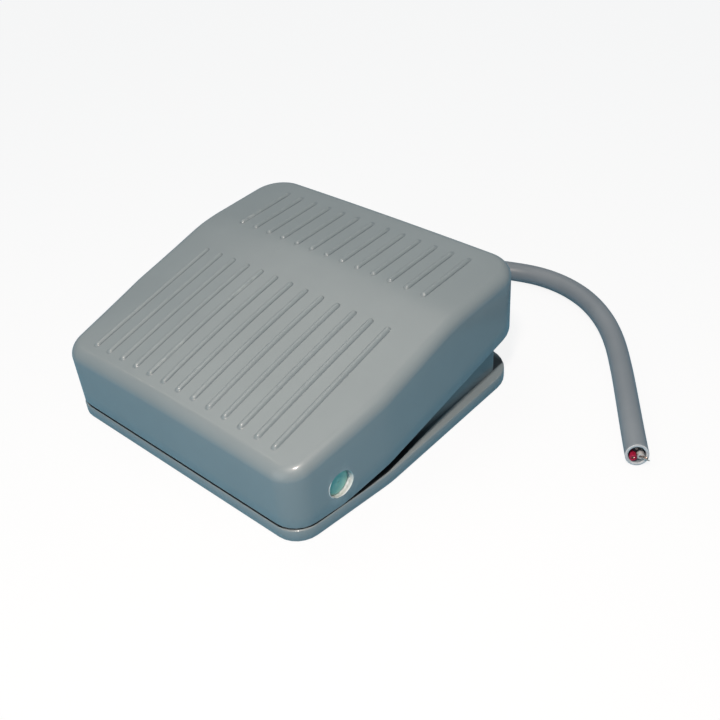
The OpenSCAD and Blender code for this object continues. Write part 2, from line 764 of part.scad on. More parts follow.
module switch_lever() {
    color("silver") translate([switch_x, lever_y, lever_z]) rotate([-lever_angle, 0, 0])
        difference() {
            union() {
                translate([-lever_w / 2, -lever_len, -lever_drop])
                    cube([lever_w, lever_len, lever_t]);
                rod_x(-lever_w / 2, lever_w / 2, 0, 0, 1.05);
            }
            rod_x(-lever_w, lever_w, 0, 0, lever_pin_d / 2 + run_gap);
        }
}

module lever_pin() {
    reach = lever_w / 2 + 0.2 + 1.2;
    color("gainsboro") rod_x(switch_x - reach, switch_x + reach, lever_y, lever_z, lever_pin_d / 2);
}

module switch_screws() {
    tip_x = case_x0 - card_t - bracket_t - 0.8;
    color("gainsboro") difference() {
        union() {
            switch_holes(tip_x, case_x1 + 0.1, 1.5);
            switch_holes(case_x1, case_x1 + 1.8, 2.8);
        }
        for (p = [[hole_edge, hole_rise], [hole_edge + hole_span_y, hole_rise + hole_span_z]])
            translate([case_x1 + 1, switch_y + p[0] - 0.4, switch_z + p[1] - 3])
                cube([1, 0.8, 6]);
    }
}

terminal_zs = [switch_z + 3.1, switch_z + 7.9, switch_z + 12.7];
module switch_terminals() {
    color("goldenrod") for (z = terminal_zs) translate([switch_x, terminal_y, z]) difference() {
        translate([-1.6, 0, -0.25]) cube([3.2, terminal_len, 0.5]);
        translate([0, terminal_len - 1.8, -1]) cylinder(r = 0.8, h = 2);
    }
}

sleeve_r = 2.1;
module terminal_sleeves() {
    color("#222222") for (z = terminal_zs)
        translate([switch_x, terminal_y + 2.6, z]) rotate([-90, 0, 0]) difference() {
            cylinder(r = sleeve_r, h = terminal_len - 1.6);
            translate([0, 0, -1]) cylinder(r = sleeve_r - 0.35, h = terminal_len + 1);
        }
}

module insulating_card() {
    color("wheat") difference() {
        translate([case_x0 - card_t, switch_y - 0.5, switch_z])
            cube([card_t, switch_l + 1, switch_h - 0.9]);
        switch_holes(case_x0 - 2, case_x0 + 1, 1.6);
    }
    color("wheat") translate([case_x0, switch_y - 0.5, floor_top])
        cube([switch_t, switch_l + 1, card_t]);
}

module switch_bracket() {
    plate_x = case_x0 - card_t - bracket_t;
    foot_len = switch_l - 7.8;
    foot_y = switch_y + 6.5;
    color("lightsteelblue") difference() {
        union() {
            translate([plate_x, switch_y, pad_top])
                cube([bracket_t, switch_l - 0.6, switch_h - 2.5]);
            translate([bracket_screw_x - 4.4, foot_y, pad_top])
                cube([plate_x - bracket_screw_x + 4.4 + bracket_t / 2, foot_len, bracket_t]);
        }
        switch_holes(plate_x - 1, case_x0, 1.5 + fit_gap);
        for (y = bracket_screw_ys) translate([bracket_screw_x, y, pad_top - 1])
            cylinder(r = 1.7, h = bracket_t + 2);
    }
}

module pan_screw(length) {
    difference() {
        union() {
            cylinder(r = 2.8, h = 1.6);
            translate([0, 0, -length]) cylinder(r = 1.5, h = length + 0.5);
        }
        translate([-3, -0.4, 0.9]) cube([6, 0.8, 1]);
    }
}

module bracket_screws() {
    color("gainsboro") for (y = bracket_screw_ys)
        translate([bracket_screw_x, y, pad_top + bracket_t]) pan_screw(4);
}

// ---------- cable ----------

module cable_boot() {
    r0 = boot_root_d / 2;
    r1 = boot_tip_d / 2;
    bore = cable_d / 2 + run_gap;
    span = boot_len - 2;
    grooves = 5;
    color("#33383a") translate([0, wall_rear_y, exit_h]) rotate([-90, 0, 0]) difference() {
        union() {
            translate([0, 0, -wall_t - boot_flange_t]) cylinder(r = 6.4, h = boot_flange_t);
            translate([0, 0, -wall_t - 0.1]) cylinder(d = boot_neck_d, h = wall_t + 0.2);
            cylinder(r1 = r0, r2 = r1, h = boot_len);
        }
        translate([0, 0, -20]) cylinder(r = bore, h = 60);
        for (i = [0:grooves - 1]) translate([0, 0, 3 + i * (span - 3) / grooves])
            difference() {
                cylinder(r = r0 + 1, h = 1.2);
                translate([0, 0, -1]) cylinder(r = r1 - 0.3, h = 3.2);
            }
    }
}

module cable_tail() {
    color("lightslategray") translate([0, tail_y, exit_h]) rotate([-90, 0, 0])
        cylinder(d = cable_d, h = boot_end_y - tail_y);
}

module cable_clamp() {
    r = cable_d / 2 + run_gap;
    foot_z = clamp_seat_z + 0.5;
    w = 2 * clamp_screw_x + 6;
    color("silver") translate([0, clamp_y + clamp_len / 2, 0]) rotate([90, 0, 0]) difference() {
        union() {
            translate([0, exit_h]) cylinder(r = r + strap_t, h = clamp_len);
            translate([-r - strap_t, foot_z, 0])
                cube([2 * (r + strap_t), exit_h - foot_z, clamp_len]);
            translate([-w / 2, foot_z, 0]) cube([w, strap_t, clamp_len]);
        }
        translate([0, exit_h, -1]) cylinder(r = r, h = clamp_len + 2);
        translate([-r, 0, -1]) cube([2 * r, exit_h, clamp_len + 2]);
        translate([-w, -20 + foot_z, -1]) cube([2 * w, 20, clamp_len + 2]);
        for (side = [-1, 1]) translate([side * clamp_screw_x, 0, clamp_len / 2])
            rotate([-90, 0, 0]) cylinder(r = 1.6, h = 30);
    }
}

module clamp_screws() {
    color("gainsboro") both_sides()
        translate([clamp_screw_x, clamp_y, clamp_seat_z + 0.5 + strap_t]) pan_screw(4.4);
}

// Core of the cable from its place in the jacket to one of the terminals
core_ring = 1.65;
module core_wire(angle, terminal, sag) {
    start = [core_ring * cos(angle), tail_y - 0.05, exit_h + core_ring * sin(angle)];
    stop = [switch_x, terminal_y + terminal_len + 0.1, terminal_zs[terminal]];
    span = start - stop;
    route = [for (i = [0:14])
        let (t = i / 14, e = t * t * t * (10 - 15 * t + 6 * t * t), bow = pow(sin(180 * t), 2))
        [start[0] - span[0] * e, start[1] - span[1] * t, start[2] - span[2] * e + sag * bow]];
    sweep(route, core_d / 2, 6, [0, -1, 0], [0, -1, 0]);
}

module wire_red() { color("crimson") core_wire(210, 0, -0.8); }
module wire_black() { color("black") core_wire(90, 2, 1.4); }
module wire_white() { color("white") core_wire(330, 1, 1.6); }

cable_last = len(cable_route) - 1;
cable_end_dir = unit(cable_route[cable_last] - cable_route[cable_last - 1]);
module cable() {
    color("lightslategray") sweep(cable_route, cable_d / 2, 12, [0, 1, 0], cable_end_dir);
}

module cable_cores() {
    turn = atan2(cable_end_dir[1], cable_end_dir[0]);
    color("peru") translate(cable_route[cable_last]) rotate([0, 90, turn])
        for (a = [30, 150, 270]) rotate([0, 0, a]) translate([core_ring, 0, 0])
            cylinder(d = core_d, h = 0.8);
}

base_casting();
rubber_feet();
pivot_axle();
axle_clips();
rest_buffers();
press_buffers();
return_springs();
switch_bracket();
bracket_screws();
insulating_card();
switch_case();
switch_cover();
switch_screws();
switch_terminals();
terminal_sleeves();
lever_pin();
cable_boot();
cable_clamp();
clamp_screws();
cable_tail();
wire_red();
wire_black();
wire_white();
cable();
cable_cores();
pedal_cover();
pivot_bushes();
adjusting_screw();
adjusting_nut();
switch_lever();
switch_plunger();
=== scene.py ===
import bpy, bmesh, math
from mathutils import Vector, Matrix


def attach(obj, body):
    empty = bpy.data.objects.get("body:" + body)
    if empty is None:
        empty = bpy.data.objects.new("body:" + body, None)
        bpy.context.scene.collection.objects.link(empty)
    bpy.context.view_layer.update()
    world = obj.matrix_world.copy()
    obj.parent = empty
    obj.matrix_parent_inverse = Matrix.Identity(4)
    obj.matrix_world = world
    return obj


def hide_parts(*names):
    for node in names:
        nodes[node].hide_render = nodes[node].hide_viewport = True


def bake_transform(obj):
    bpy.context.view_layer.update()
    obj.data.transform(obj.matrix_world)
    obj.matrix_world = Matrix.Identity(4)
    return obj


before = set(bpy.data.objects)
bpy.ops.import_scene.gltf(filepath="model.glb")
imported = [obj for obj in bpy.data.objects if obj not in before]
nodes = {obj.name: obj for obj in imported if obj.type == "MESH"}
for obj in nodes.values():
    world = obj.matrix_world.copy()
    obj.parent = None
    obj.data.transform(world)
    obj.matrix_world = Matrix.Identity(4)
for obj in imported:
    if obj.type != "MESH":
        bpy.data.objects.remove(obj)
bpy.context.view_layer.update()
mm = 0.001
zAxis = Vector((0, 0, 1))
print("frame loaded:", len(nodes), "nodes")


def link(obj):
    bpy.context.scene.collection.objects.link(obj)
    return obj


# Camera, looking down on the corner where the axle's end shows

shot = {
    "lens": 47.4256,
    "sensor": 36.0,
    "clip": (0.01, 20.0),
    "place": (0.17898, -0.15676, 0.18731),
    "ahead": (-0.55184, 0.57526, -0.60378),
    "up": (-0.35642, 0.49186, 0.79438),
}


def addCamera():
    data = bpy.data.cameras.new("camera")
    data.lens, data.sensor_width = shot["lens"], shot["sensor"]
    data.clip_start, data.clip_end = shot["clip"]
    cam = link(bpy.data.objects.new("camera", data))
    ahead = Vector(shot["ahead"]).normalized()
    right = ahead.cross(Vector(shot["up"])).normalized()
    turn = Matrix((right, right.cross(ahead), -ahead)).transposed()
    cam.matrix_world = Matrix.Translation(shot["place"]) @ turn.to_4x4()
    bpy.context.scene.camera = cam


addCamera()
print("camera placed")

# Shared effects, each a node group with its own inputs and outputs


def newGroup(name, inputs, outputs):
    # Every group reads a Vector; its other inputs are numbers, or vectors where three are given
    group = bpy.data.node_groups.new(name, "ShaderNodeTree")
    group.interface.new_socket(name="Vector", in_out="INPUT", socket_type="NodeSocketVector")
    for label, value in inputs.items():
        kind = "NodeSocketVector" if isinstance(value, tuple) else "NodeSocketFloat"
        socket = group.interface.new_socket(name=label, in_out="INPUT", socket_type=kind)
        socket.default_value = value
    for label in outputs:
        group.interface.new_socket(name=label, in_out="OUTPUT", socket_type="NodeSocketFloat")
    return group, group.nodes.new("NodeGroupInput"), group.nodes.new("NodeGroupOutput")


def noiseNode(tree, vector, scale, detail=3.0, rough=0.5, distortion=0.0):
    n = tree.nodes.new("ShaderNodeTexNoise")
    n.inputs["Detail"].default_value = detail
    n.inputs["Roughness"].default_value = rough
    n.inputs["Distortion"].default_value = distortion
    tree.links.new(vector, n.inputs["Vector"])
    if isinstance(scale, (int, float)):
        n.inputs["Scale"].default_value = scale
    else:
        tree.links.new(scale, n.inputs["Scale"])
    return n.outputs["Fac"]


def rampNode(tree, value, low, high, lowTo=0.0, highTo=1.0):
    n = tree.nodes.new("ShaderNodeMapRange")
    n.interpolation_type = "SMOOTHSTEP"
    tree.links.new(value, n.inputs["Value"])
    for label, v in zip(("From Min", "From Max", "To Min", "To Max"), (low, high, lowTo, highTo)):
        n.inputs[label].default_value = v
    return n.outputs["Result"]


def mathNode(tree, kind, a, b=None):
    n = tree.nodes.new("ShaderNodeMath")
    n.operation = kind
    for socket, v in zip(n.inputs, (a, b)):
        if v is None:
            continue
        if isinstance(v, (int, float)):
            socket.default_value = v
        else:
            tree.links.new(v, socket)
    return n.outputs[0]


def times(tree, first, *others):
    for other in others:
        first = mathNode(tree, "MULTIPLY", first, other)
    return first


def plus(tree, a, b):
    return mathNode(tree, "ADD", a, b)


def mixNode(tree, factor, a, b):
    n = tree.nodes.new("ShaderNodeMix")
    n.data_type = "RGBA"
    for socket, v in ((n.inputs["Factor"], factor), (n.inputs["A"], a), (n.inputs["B"], b)):
        if isinstance(v, (int, float)):
            socket.default_value = v
        elif isinstance(v, tuple):
            socket.default_value = (*v, 1)
        else:
            tree.links.new(v, socket)
    return n.outputs["Result"]


paintGrain = {
    "peelScale": 900.0, "castScale": 220.0, "cloudScale": 28.0,
    "peelShare": 0.35, "castShare": 0.65,
    "nibScale": 130.0, "nibSize": (0.05, 0.015), "nibRise": 0.5,
    "patchScale": 60.0, "patchRange": (0.62, 0.7),
}


def buildPaintGrain():
    # Orange peel of sprayed enamel over a cast surface, with cloudy tone and faint dust nibs
    c = paintGrain
    g, i, o = newGroup(
        "paintGrain", {"Peel Scale": c["peelScale"], "Cast Scale": c["castScale"]},
        ["Height", "Tone", "Nibs"])
    v = i.outputs["Vector"]
    peel = noiseNode(g, v, i.outputs["Peel Scale"], detail=2.0, rough=0.45)
    cast = noiseNode(g, v, i.outputs["Cast Scale"], rough=0.55)
    dots = g.nodes.new("ShaderNodeTexVoronoi")
    dots.inputs["Scale"].default_value = c["nibScale"]
    g.links.new(v, dots.inputs["Vector"])
    nib = rampNode(g, dots.outputs["Distance"], *c["nibSize"])
    patch = rampNode(g, noiseNode(g, v, c["patchScale"], detail=1.0), *c["patchRange"])
    nibs = times(g, nib, patch)
    height = plus(g, times(g, peel, c["peelShare"]), times(g, cast, c["castShare"]))
    g.links.new(plus(g, height, times(g, nibs, c["nibRise"])), o.inputs["Height"])
    g.links.new(noiseNode(g, v, c["cloudScale"], detail=4.0, rough=0.6), o.inputs["Tone"])
    g.links.new(nibs, o.inputs["Nibs"])
    return g


rubMarks = {
    "lineRange": (0.5, 0.72), "patchScale": 90.0, "patchRange": (0.4, 0.65), "smudgeScale": 45.0,
}


def buildRubMarks():
    # Fine rubbed hairlines, long in one direction, broken up so that they come and go
    c = rubMarks
    g, i, o = newGroup(
        "rubMarks", {"Stretch": (1.0, 1.0, 1.0), "Amount": 0.5}, ["Lines", "Smudge"])
    v = i.outputs["Vector"]
    scaled = g.nodes.new("ShaderNodeVectorMath")
    scaled.operation = "MULTIPLY"
    g.links.new(v, scaled.inputs[0])
    g.links.new(i.outputs["Stretch"], scaled.inputs[1])
    lines = rampNode(g, noiseNode(g, scaled.outputs[0], 1.0, rough=0.7), *c["lineRange"])
    patch = rampNode(g, noiseNode(g, v, c["patchScale"], detail=2.0), *c["patchRange"])
    smudge = noiseNode(g, v, c["smudgeScale"], rough=0.6, distortion=0.4)
    g.links.new(times(g, lines, patch, i.outputs["Amount"]), o.inputs["Lines"])
    g.links.new(smudge, o.inputs["Smudge"])
    return g


edgeWearAndCreviceShade = {"breakRange": (0.38, 0.6), "creviceRange": (0.494, 0.462)}


def buildEdgeWearAndCreviceShade():
    # Where corners are rubbed: the sharper the corner, the more shows, in broken patches. Beside
    # it, painted shade in hollows: the less pointed the surface, the darker
    c = edgeWearAndCreviceShade
    g, i, o = newGroup(
        "edgeWearAndCreviceShade", {"Low": 0.56, "High": 0.64, "Break Scale": 400.0}, ["Mask", "CreviceShade"])
    sharpness = g.nodes.new("ShaderNodeNewGeometry").outputs["Pointiness"]
    r = g.nodes.new("ShaderNodeMapRange")
    g.links.new(sharpness, r.inputs["Value"])
    g.links.new(i.outputs["Low"], r.inputs["From Min"])
    g.links.new(i.outputs["High"], r.inputs["From Max"])
    noise = noiseNode(g, i.outputs["Vector"], i.outputs["Break Scale"], detail=4.0, rough=0.65)
    broken = rampNode(g, noise, *c["breakRange"])
    g.links.new(times(g, r.outputs["Result"], broken), o.inputs["Mask"])
    g.links.new(rampNode(g, sharpness, *c["creviceRange"]), o.inputs["CreviceShade"])
    return g


speckle = {"fineShare": 0.6, "coarseShare": 0.4}


def buildSpeckle():
    # Two-scale mottling for moulded plastic, rubber, fibre card and copper
    c = speckle
    g, i, o = newGroup("speckle", {"Fine": 1800.0, "Coarse": 150.0}, ["Height", "Tone"])
    v = i.outputs["Vector"]
    fine = noiseNode(g, v, i.outputs["Fine"], detail=2.0, rough=0.6)
    coarse = noiseNode(g, v, i.outputs["Coarse"])
    height = plus(g, times(g, fine, c["fineShare"]), times(g, coarse, c["coarseShare"]))
    g.links.new(height, o.inputs["Height"])
    g.links.new(coarse, o.inputs["Tone"])
    return g


# In metres: the first pair is where the effect starts and is full, the second what it runs between
# Painted shade on the tray's ledge where the pedal's edge would shade it, and a painted shadow
# behind the wall's rear corner
ledgePaintedShade = {
    "outline": {
        "Front": -0.0495, "Front Half": 0.0481, "Half": 0.052, "Taper": 0.116, "Corner": 0.0078,
    },
    "pedalEdge": (-0.028, 0.02, 0.00027, 0.0031),
    "edgeBlur": (-0.0001, 0.0001),
    "wallFoot": (0.0065, 0.005),
    "ledgeTop": (0.0028, 0.0036),
    "bandFade": (-0.008, 0.026, 1.0, 0.12),
    "rearStart": (0.0378, 0.0388),
    "rearStop": (0.0472, 0.0435),
    "rearAside": (0.0030, 0.0036, 0.0, 0.95),
    "rearTop": (0.0044, 0.0041),
}


def buildLedgePaintedShade():
    # Painted shade on the ledge under the pedal's edge: a band inside the rounded outline that
    # fades rearward, and a painted shadow round the wall's rear corner
    c = ledgePaintedShade
    g, i, o = newGroup("ledgePaintedShade", c["outline"], ["Mask"])

    def maths(kind, a, b=None):
        return mathNode(g, kind, a, b)

    split = g.nodes.new("ShaderNodeSeparateXYZ")
    g.links.new(i.outputs["Vector"], split.inputs[0])
    x, y, z = split.outputs
    back = maths("SUBTRACT", y, i.outputs["Front"])
    tapered = plus(g, i.outputs["Front Half"], times(g, back, i.outputs["Taper"]))
    edge = maths("MINIMUM", i.outputs["Half"], tapered)
    aside = maths("SUBTRACT", edge, maths("ABSOLUTE", x))
    corner = i.outputs["Corner"]
    a = maths("MAXIMUM", maths("SUBTRACT", corner, aside), 0.0)
    b = maths("MAXIMUM", maths("SUBTRACT", corner, back), 0.0)
    inside = maths("SUBTRACT", corner, maths("SQRT", plus(g, times(g, a, a), times(g, b, b))))
    covered = maths("SUBTRACT", inside, rampNode(g, y, *c["pedalEdge"]))
    onLedge = rampNode(g, z, *c["ledgeTop"])
    band = times(g, rampNode(g, covered, *c["edgeBlur"]), rampNode(g, inside, *c["wallFoot"]),
                 onLedge, rampNode(g, y, *c["bandFade"]))
    rear = times(g, rampNode(g, y, *c["rearStart"]), rampNode(g, aside, *c["rearAside"]),
                 rampNode(g, y, *c["rearStop"]), onLedge, rampNode(g, z, *c["rearTop"]))
    g.links.new(maths("MAXIMUM", band, rear), o.inputs["Mask"])
    return g


effects = {
    "paintedShade": buildLedgePaintedShade(), "grain": buildPaintGrain(), "rub": buildRubMarks(),
    "wear": buildEdgeWearAndCreviceShade(), "speckle": buildSpeckle(),
}
print("effect groups built")


def place(tree, effect, vector, **values):
    n = tree.nodes.new("ShaderNodeGroup")
    n.node_tree = effects[effect]
    tree.links.new(vector, n.inputs["Vector"])
    for label, v in values.items():
        n.inputs[label.replace("_", " ")].default_value = v
    return n.outputs


def startMaterial(name, **fixed):
    m = bpy.data.materials.new(name)
    m.use_nodes = True
    tree = m.node_tree
    shader = tree.nodes["Principled BSDF"]
    for label, v in fixed.items():
        shader.inputs[label.replace("_", " ")].default_value = v
    coords = tree.nodes.new("ShaderNodeTexCoord")
    return m, tree, shader, coords.outputs["Object"]


def dress(tree, shader, colour, gloss, height, bump):
    # Bump is its strength and its depth in metres
    tree.links.new(colour, shader.inputs["Base Color"])
    tree.links.new(gloss, shader.inputs["Roughness"])
    b = tree.nodes.new("ShaderNodeBump")
    b.inputs["Strength"].default_value, b.inputs["Distance"].default_value = bump
    tree.links.new(height, b.inputs["Height"])
    tree.links.new(b.outputs["Normal"], shader.inputs["Normal"])


# Finishes: the stretch of a noise over which the tone changes, and that for the roughness

toneRange = (0.35, 0.65)
glossRange = (0.3, 0.7)

enamel = {
    "colour": (0.278, 0.318, 0.328),
    "cloudy": (0.265, 0.304, 0.314),
    # lighter tone on sharp edges and crests: partly paint worn there, partly painted highlight on
    # the ribs' crests
    "worn": (0.39, 0.43, 0.43),
    "nib": (0.72, 0.75, 0.74), "nibShare": 0.9,
    # near black painted shade for the tray's ledge under the pedal's edge
    "paintedShade": (0.006, 0.006, 0.007),
    # painted shade in hollows and at the ribs' feet
    "creviceShade": (0.13, 0.155, 0.165), "creviceShadeShare": 0.75,
    "roughness": (0.38, 0.47), "lineRoughness": 0.1,
    "coat": 0.45, "coatRoughness": 0.14, "specular": 0.65,
    "rubStretch": (5200.0, 260.0, 900.0), "rubAmount": 0.35,
    "bump": (0.16, 0.00012),
}


def enamelMaterial(name, wornShare, low, high, withPaintedShade=False):
    c = enamel
    m, tree, shader, vector = startMaterial(
        name, Coat_Roughness=c["coatRoughness"], Coat_Weight=c["coat"],
        Specular_IOR_Level=c["specular"])
    grain = place(tree, "grain", vector)
    wear = place(tree, "wear", vector, Low=low, High=high)
    rub = place(tree, "rub", vector, Stretch=c["rubStretch"], Amount=c["rubAmount"])
    tone = mixNode(tree, rampNode(tree, grain["Tone"], *toneRange), c["cloudy"], c["colour"])
    # Painted shade in hollows, taken from the surface's pointiness
    tone = mixNode(tree, times(tree, wear["CreviceShade"], c["creviceShadeShare"]), tone, c["creviceShade"])
    # Lighter tone on edges and crests: wear, and painted highlight on the ribs' crests
    tone = mixNode(tree, times(tree, wear["Mask"], wornShare), tone, c["worn"])
    tone = mixNode(tree, times(tree, grain["Nibs"], c["nibShare"]), tone, c["nib"])
    # Painted shade on the ledge under the pedal's edge, where the coat is taken away too
    if withPaintedShade:
        paintedShade = place(tree, "paintedShade", vector)["Mask"]
        tone = mixNode(tree, paintedShade, tone, c["paintedShade"])
        unshaded = mathNode(tree, "SUBTRACT", 1.0, paintedShade)
        tree.links.new(times(tree, unshaded, c["coat"]), shader.inputs["Coat Weight"])
    gloss = rampNode(tree, rub["Smudge"], *glossRange, *c["roughness"])
    gloss = plus(tree, gloss, times(tree, rub["Lines"], c["lineRoughness"]))
    dress(tree, shader, tone, gloss, grain["Height"], c["bump"])
    return m


metal = {
    "rubAmount": 0.9, "wearLow": 0.54, "wearHigh": 0.66, "breakScale": 900.0,
    "toneRange": (0.35, 0.7), "brighter": 1.25, "bump": (0.08, 0.00003),
}


def metalMaterial(name, colour, dull, roughness, stretch=(3000.0, 3000.0, 300.0), metallic=1.0):
    c = metal
    m, tree, shader, vector = startMaterial(name, Metallic=metallic)
    rub = place(tree, "rub", vector, Stretch=stretch, Amount=c["rubAmount"])
    wear = place(tree, "wear", vector, Low=c["wearLow"], High=c["wearHigh"],
                 Break_Scale=c["breakScale"])
    tone = mixNode(tree, rampNode(tree, rub["Smudge"], *c["toneRange"]), dull, colour)
    bright = tuple(min(1.0, v * c["brighter"]) for v in colour)
    tone = mixNode(tree, mathNode(tree, "MAXIMUM", wear["Mask"], rub["Lines"]), tone, bright)
    gloss = rampNode(tree, rub["Smudge"], *glossRange, *roughness)
    dress(tree, shader, tone, gloss, rub["Lines"], c["bump"])
    return m


soft = {"wearLow": 0.53, "wearHigh": 0.65, "breakScale": 700.0, "wornShare": 0.7, "depth": 0.00006}


def softMaterial(name, colour, shade, roughness, bump, fine=1800.0, coarse=150.0, worn=None):
    c = soft
    m, tree, shader, vector = startMaterial(name)
    mottle = place(tree, "speckle", vector, Fine=fine, Coarse=coarse)
    tone = mixNode(tree, rampNode(tree, mottle["Tone"], *toneRange), shade, colour)
    if worn:
        wear = place(tree, "wear", vector, Low=c["wearLow"], High=c["wearHigh"],
                     Break_Scale=c["breakScale"])
        tone = mixNode(tree, times(tree, wear["Mask"], c["wornShare"]), tone, worn)
    gloss = rampNode(tree, mottle["Tone"], *glossRange, *roughness)
    dress(tree, shader, tone, gloss, mottle["Height"], (bump, c["depth"]))
    return m


passivated = {
    "thin": (0.20, 0.48, 0.40), "thick": (0.31, 0.60, 0.52), "wiped": (0.50, 0.62, 0.52),
    "metallic": 0.55, "roughness": (0.28, 0.5), "bump": (0.2, 0.0001),
    "rubStretch": (900.0, 1500.0, 500.0), "rubAmount": 0.8,
    "wearLow": 0.53, "wearHigh": 0.62, "breakScale": 1200.0,
}


def passivatedMaterial():
    # Zinc with a green chromate film, brighter where it was wiped
    c = passivated
    m, tree, shader, vector = startMaterial("passivatedZinc", Metallic=c["metallic"])
    rub = place(tree, "rub", vector, Stretch=c["rubStretch"], Amount=c["rubAmount"])
    wear = place(tree, "wear", vector, Low=c["wearLow"], High=c["wearHigh"],
                 Break_Scale=c["breakScale"])
    film = mixNode(tree, rampNode(tree, rub["Smudge"], *toneRange), c["thin"], c["thick"])
    shown = mathNode(tree, "MAXIMUM", rub["Lines"], wear["Mask"])
    gloss = rampNode(tree, rub["Smudge"], *glossRange, *c["roughness"])
    dress(tree, shader, mixNode(tree, shown, film, c["wiped"]), gloss, rub["Smudge"], c["bump"])
    return m


copper = {
    "dark": (0.62, 0.36, 0.26), "light": (0.86, 0.72, 0.64), "toneRange": (0.4, 0.6),
    "fine": 4000.0, "coarse": 900.0, "roughness": (0.2, 0.42), "bump": (0.1, 0.00003),
}


def copperMaterial():
    c = copper
    m, tree, shader, vector = startMaterial("bareCopper", Metallic=1.0)
    mottle = place(tree, "speckle", vector, Fine=c["fine"], Coarse=c["coarse"])
    tone = mixNode(tree, rampNode(tree, mottle["Tone"], *c["toneRange"]), c["dark"], c["light"])
    gloss = rampNode(tree, mottle["Tone"], *glossRange, *c["roughness"])
    dress(tree, shader, tone, gloss, mottle["Height"], c["bump"])
    return m


def coreMaterial(name, colour, shade, roughness):
    return softMaterial(name, colour, shade, roughness, 0.05, fine=3000.0, coarse=700.0)


finish = {
    # The pedal's lower thresholds spread the lighter tone over the ribs' crests, as painted
    # highlight as well as wear
    "pedalEnamel": enamelMaterial("pedalEnamel", 0.6, low=0.51, high=0.56),
    "castEnamel": enamelMaterial("castEnamel", 0.5, low=0.54, high=0.66),
    # The tray's enamel also carries the painted shade on its ledge under the pedal
    "trayEnamel": enamelMaterial("trayEnamel", 0.5, low=0.54, high=0.66, withPaintedShade=True),
    "rubber": softMaterial(
        "footRubber", (0.028, 0.029, 0.030), (0.018, 0.018, 0.019), (0.55, 0.8), 0.3,
        fine=1200.0, worn=(0.07, 0.07, 0.07)),
    "bootRubber": softMaterial(
        "bootRubber", (0.038, 0.042, 0.045), (0.026, 0.028, 0.030), (0.5, 0.7), 0.2,
        fine=1500.0, worn=(0.09, 0.095, 0.1)),
    "passivated": passivatedMaterial(),
    "spring": metalMaterial("springSteel", (0.56, 0.56, 0.57), (0.36, 0.36, 0.37), (0.2, 0.4)),
    "zinc": metalMaterial(
        "zincPlate", (0.66, 0.67, 0.65), (0.48, 0.50, 0.49), (0.25, 0.45),
        stretch=(900.0, 900.0, 2400.0)),
    "bareHole": metalMaterial(
        "machinedHole", (0.86, 0.87, 0.84), (0.74, 0.76, 0.73), (0.45, 0.6),
        stretch=(6000.0, 400.0, 400.0), metallic=0.0),
    "card": softMaterial(
        "fibreCard", (0.55, 0.43, 0.27), (0.42, 0.32, 0.19), (0.7, 0.9), 0.3,
        fine=2600.0, coarse=400.0),
    "housing": softMaterial(
        "switchMoulding", (0.045, 0.040, 0.036), (0.030, 0.027, 0.025), (0.35, 0.5), 0.1,
        fine=1600.0, worn=(0.1, 0.09, 0.085)),
    "plunger": softMaterial(
        "plungerRed", (0.50, 0.045, 0.035), (0.40, 0.03, 0.025), (0.25, 0.4), 0.05),
    "brass": metalMaterial("tinnedBrass", (0.78, 0.66, 0.42), (0.60, 0.48, 0.28), (0.25, 0.4)),
    "sleeve": softMaterial(
        "shrinkSleeve", (0.020, 0.020, 0.021), (0.013, 0.013, 0.014), (0.4, 0.55), 0.1),
    "jacket": softMaterial(
        "cableSheath", (0.262, 0.292, 0.318), (0.240, 0.269, 0.295), (0.36, 0.5), 0.12,
        fine=1500.0, coarse=60.0, worn=(0.27, 0.30, 0.31)),
    "cutSheath": softMaterial(
        "cutSheath", (0.66, 0.67, 0.68), (0.56, 0.57, 0.58), (0.5, 0.7), 0.1,
        fine=3000.0, coarse=700.0),
    "coreRed": coreMaterial("coreRed", (0.56, 0.022, 0.075), (0.42, 0.012, 0.05), (0.25, 0.4)),
    "coreBlack": coreMaterial(
        "coreBlack", (0.016, 0.014, 0.015), (0.010, 0.009, 0.010), (0.3, 0.45)),
    "coreWhite": coreMaterial("coreWhite", (0.62, 0.60, 0.58), (0.48, 0.47, 0.46), (0.25, 0.4)),
    "copper": copperMaterial(),
    "nylon": softMaterial("bushNylon", (0.72, 0.69, 0.60), (0.62, 0.60, 0.52), (0.35, 0.5), 0.08),
}
print("finishes made:", len(finish))

nodesOf = {
    "castEnamel": ["base_casting", "pedal_cover"],
    "rubber": ["rubber_feet", "rest_buffers", "press_buffers"],
    "bootRubber": ["cable_boot"],
    "passivated": ["pivot_axle"],
    "spring": ["axle_clips", "return_springs", "switch_lever", "lever_pin"],
    "zinc": ["switch_bracket", "bracket_screws", "switch_screws", "cable_clamp", "clamp_screws",
             "adjusting_screw", "adjusting_nut"],
    "card": ["insulating_card"],
    "housing": ["switch_case", "switch_cover"],
    "plunger": ["switch_plunger"],
    "brass": ["switch_terminals"],
    "sleeve": ["terminal_sleeves"],
    "jacket": ["cable", "cable_tail"],
    "copper": ["cable_cores"],
    "coreRed": ["wire_red"],
    "coreBlack": ["wire_black"],
    "coreWhite": ["wire_white"],
    "nylon": ["pivot_bushes"],
}
for look, names in nodesOf.items():
    for name in names:
        nodes[name].data.materials.clear()
        nodes[name].data.materials.append(finish[look])


def solidMesh(name, verts, faces):
    # A closed mesh whose faces all look outwards
    mesh = bpy.data.meshes.new(name)
    mesh.from_pydata(verts, [], faces)
    bm = bmesh.new()
    bm.from_mesh(mesh)
    if bm.calc_volume(signed=True) < 0:
        bmesh.ops.reverse_faces(bm, faces=bm.faces)
        bm.to_mesh(mesh)
    bm.free()
    return mesh


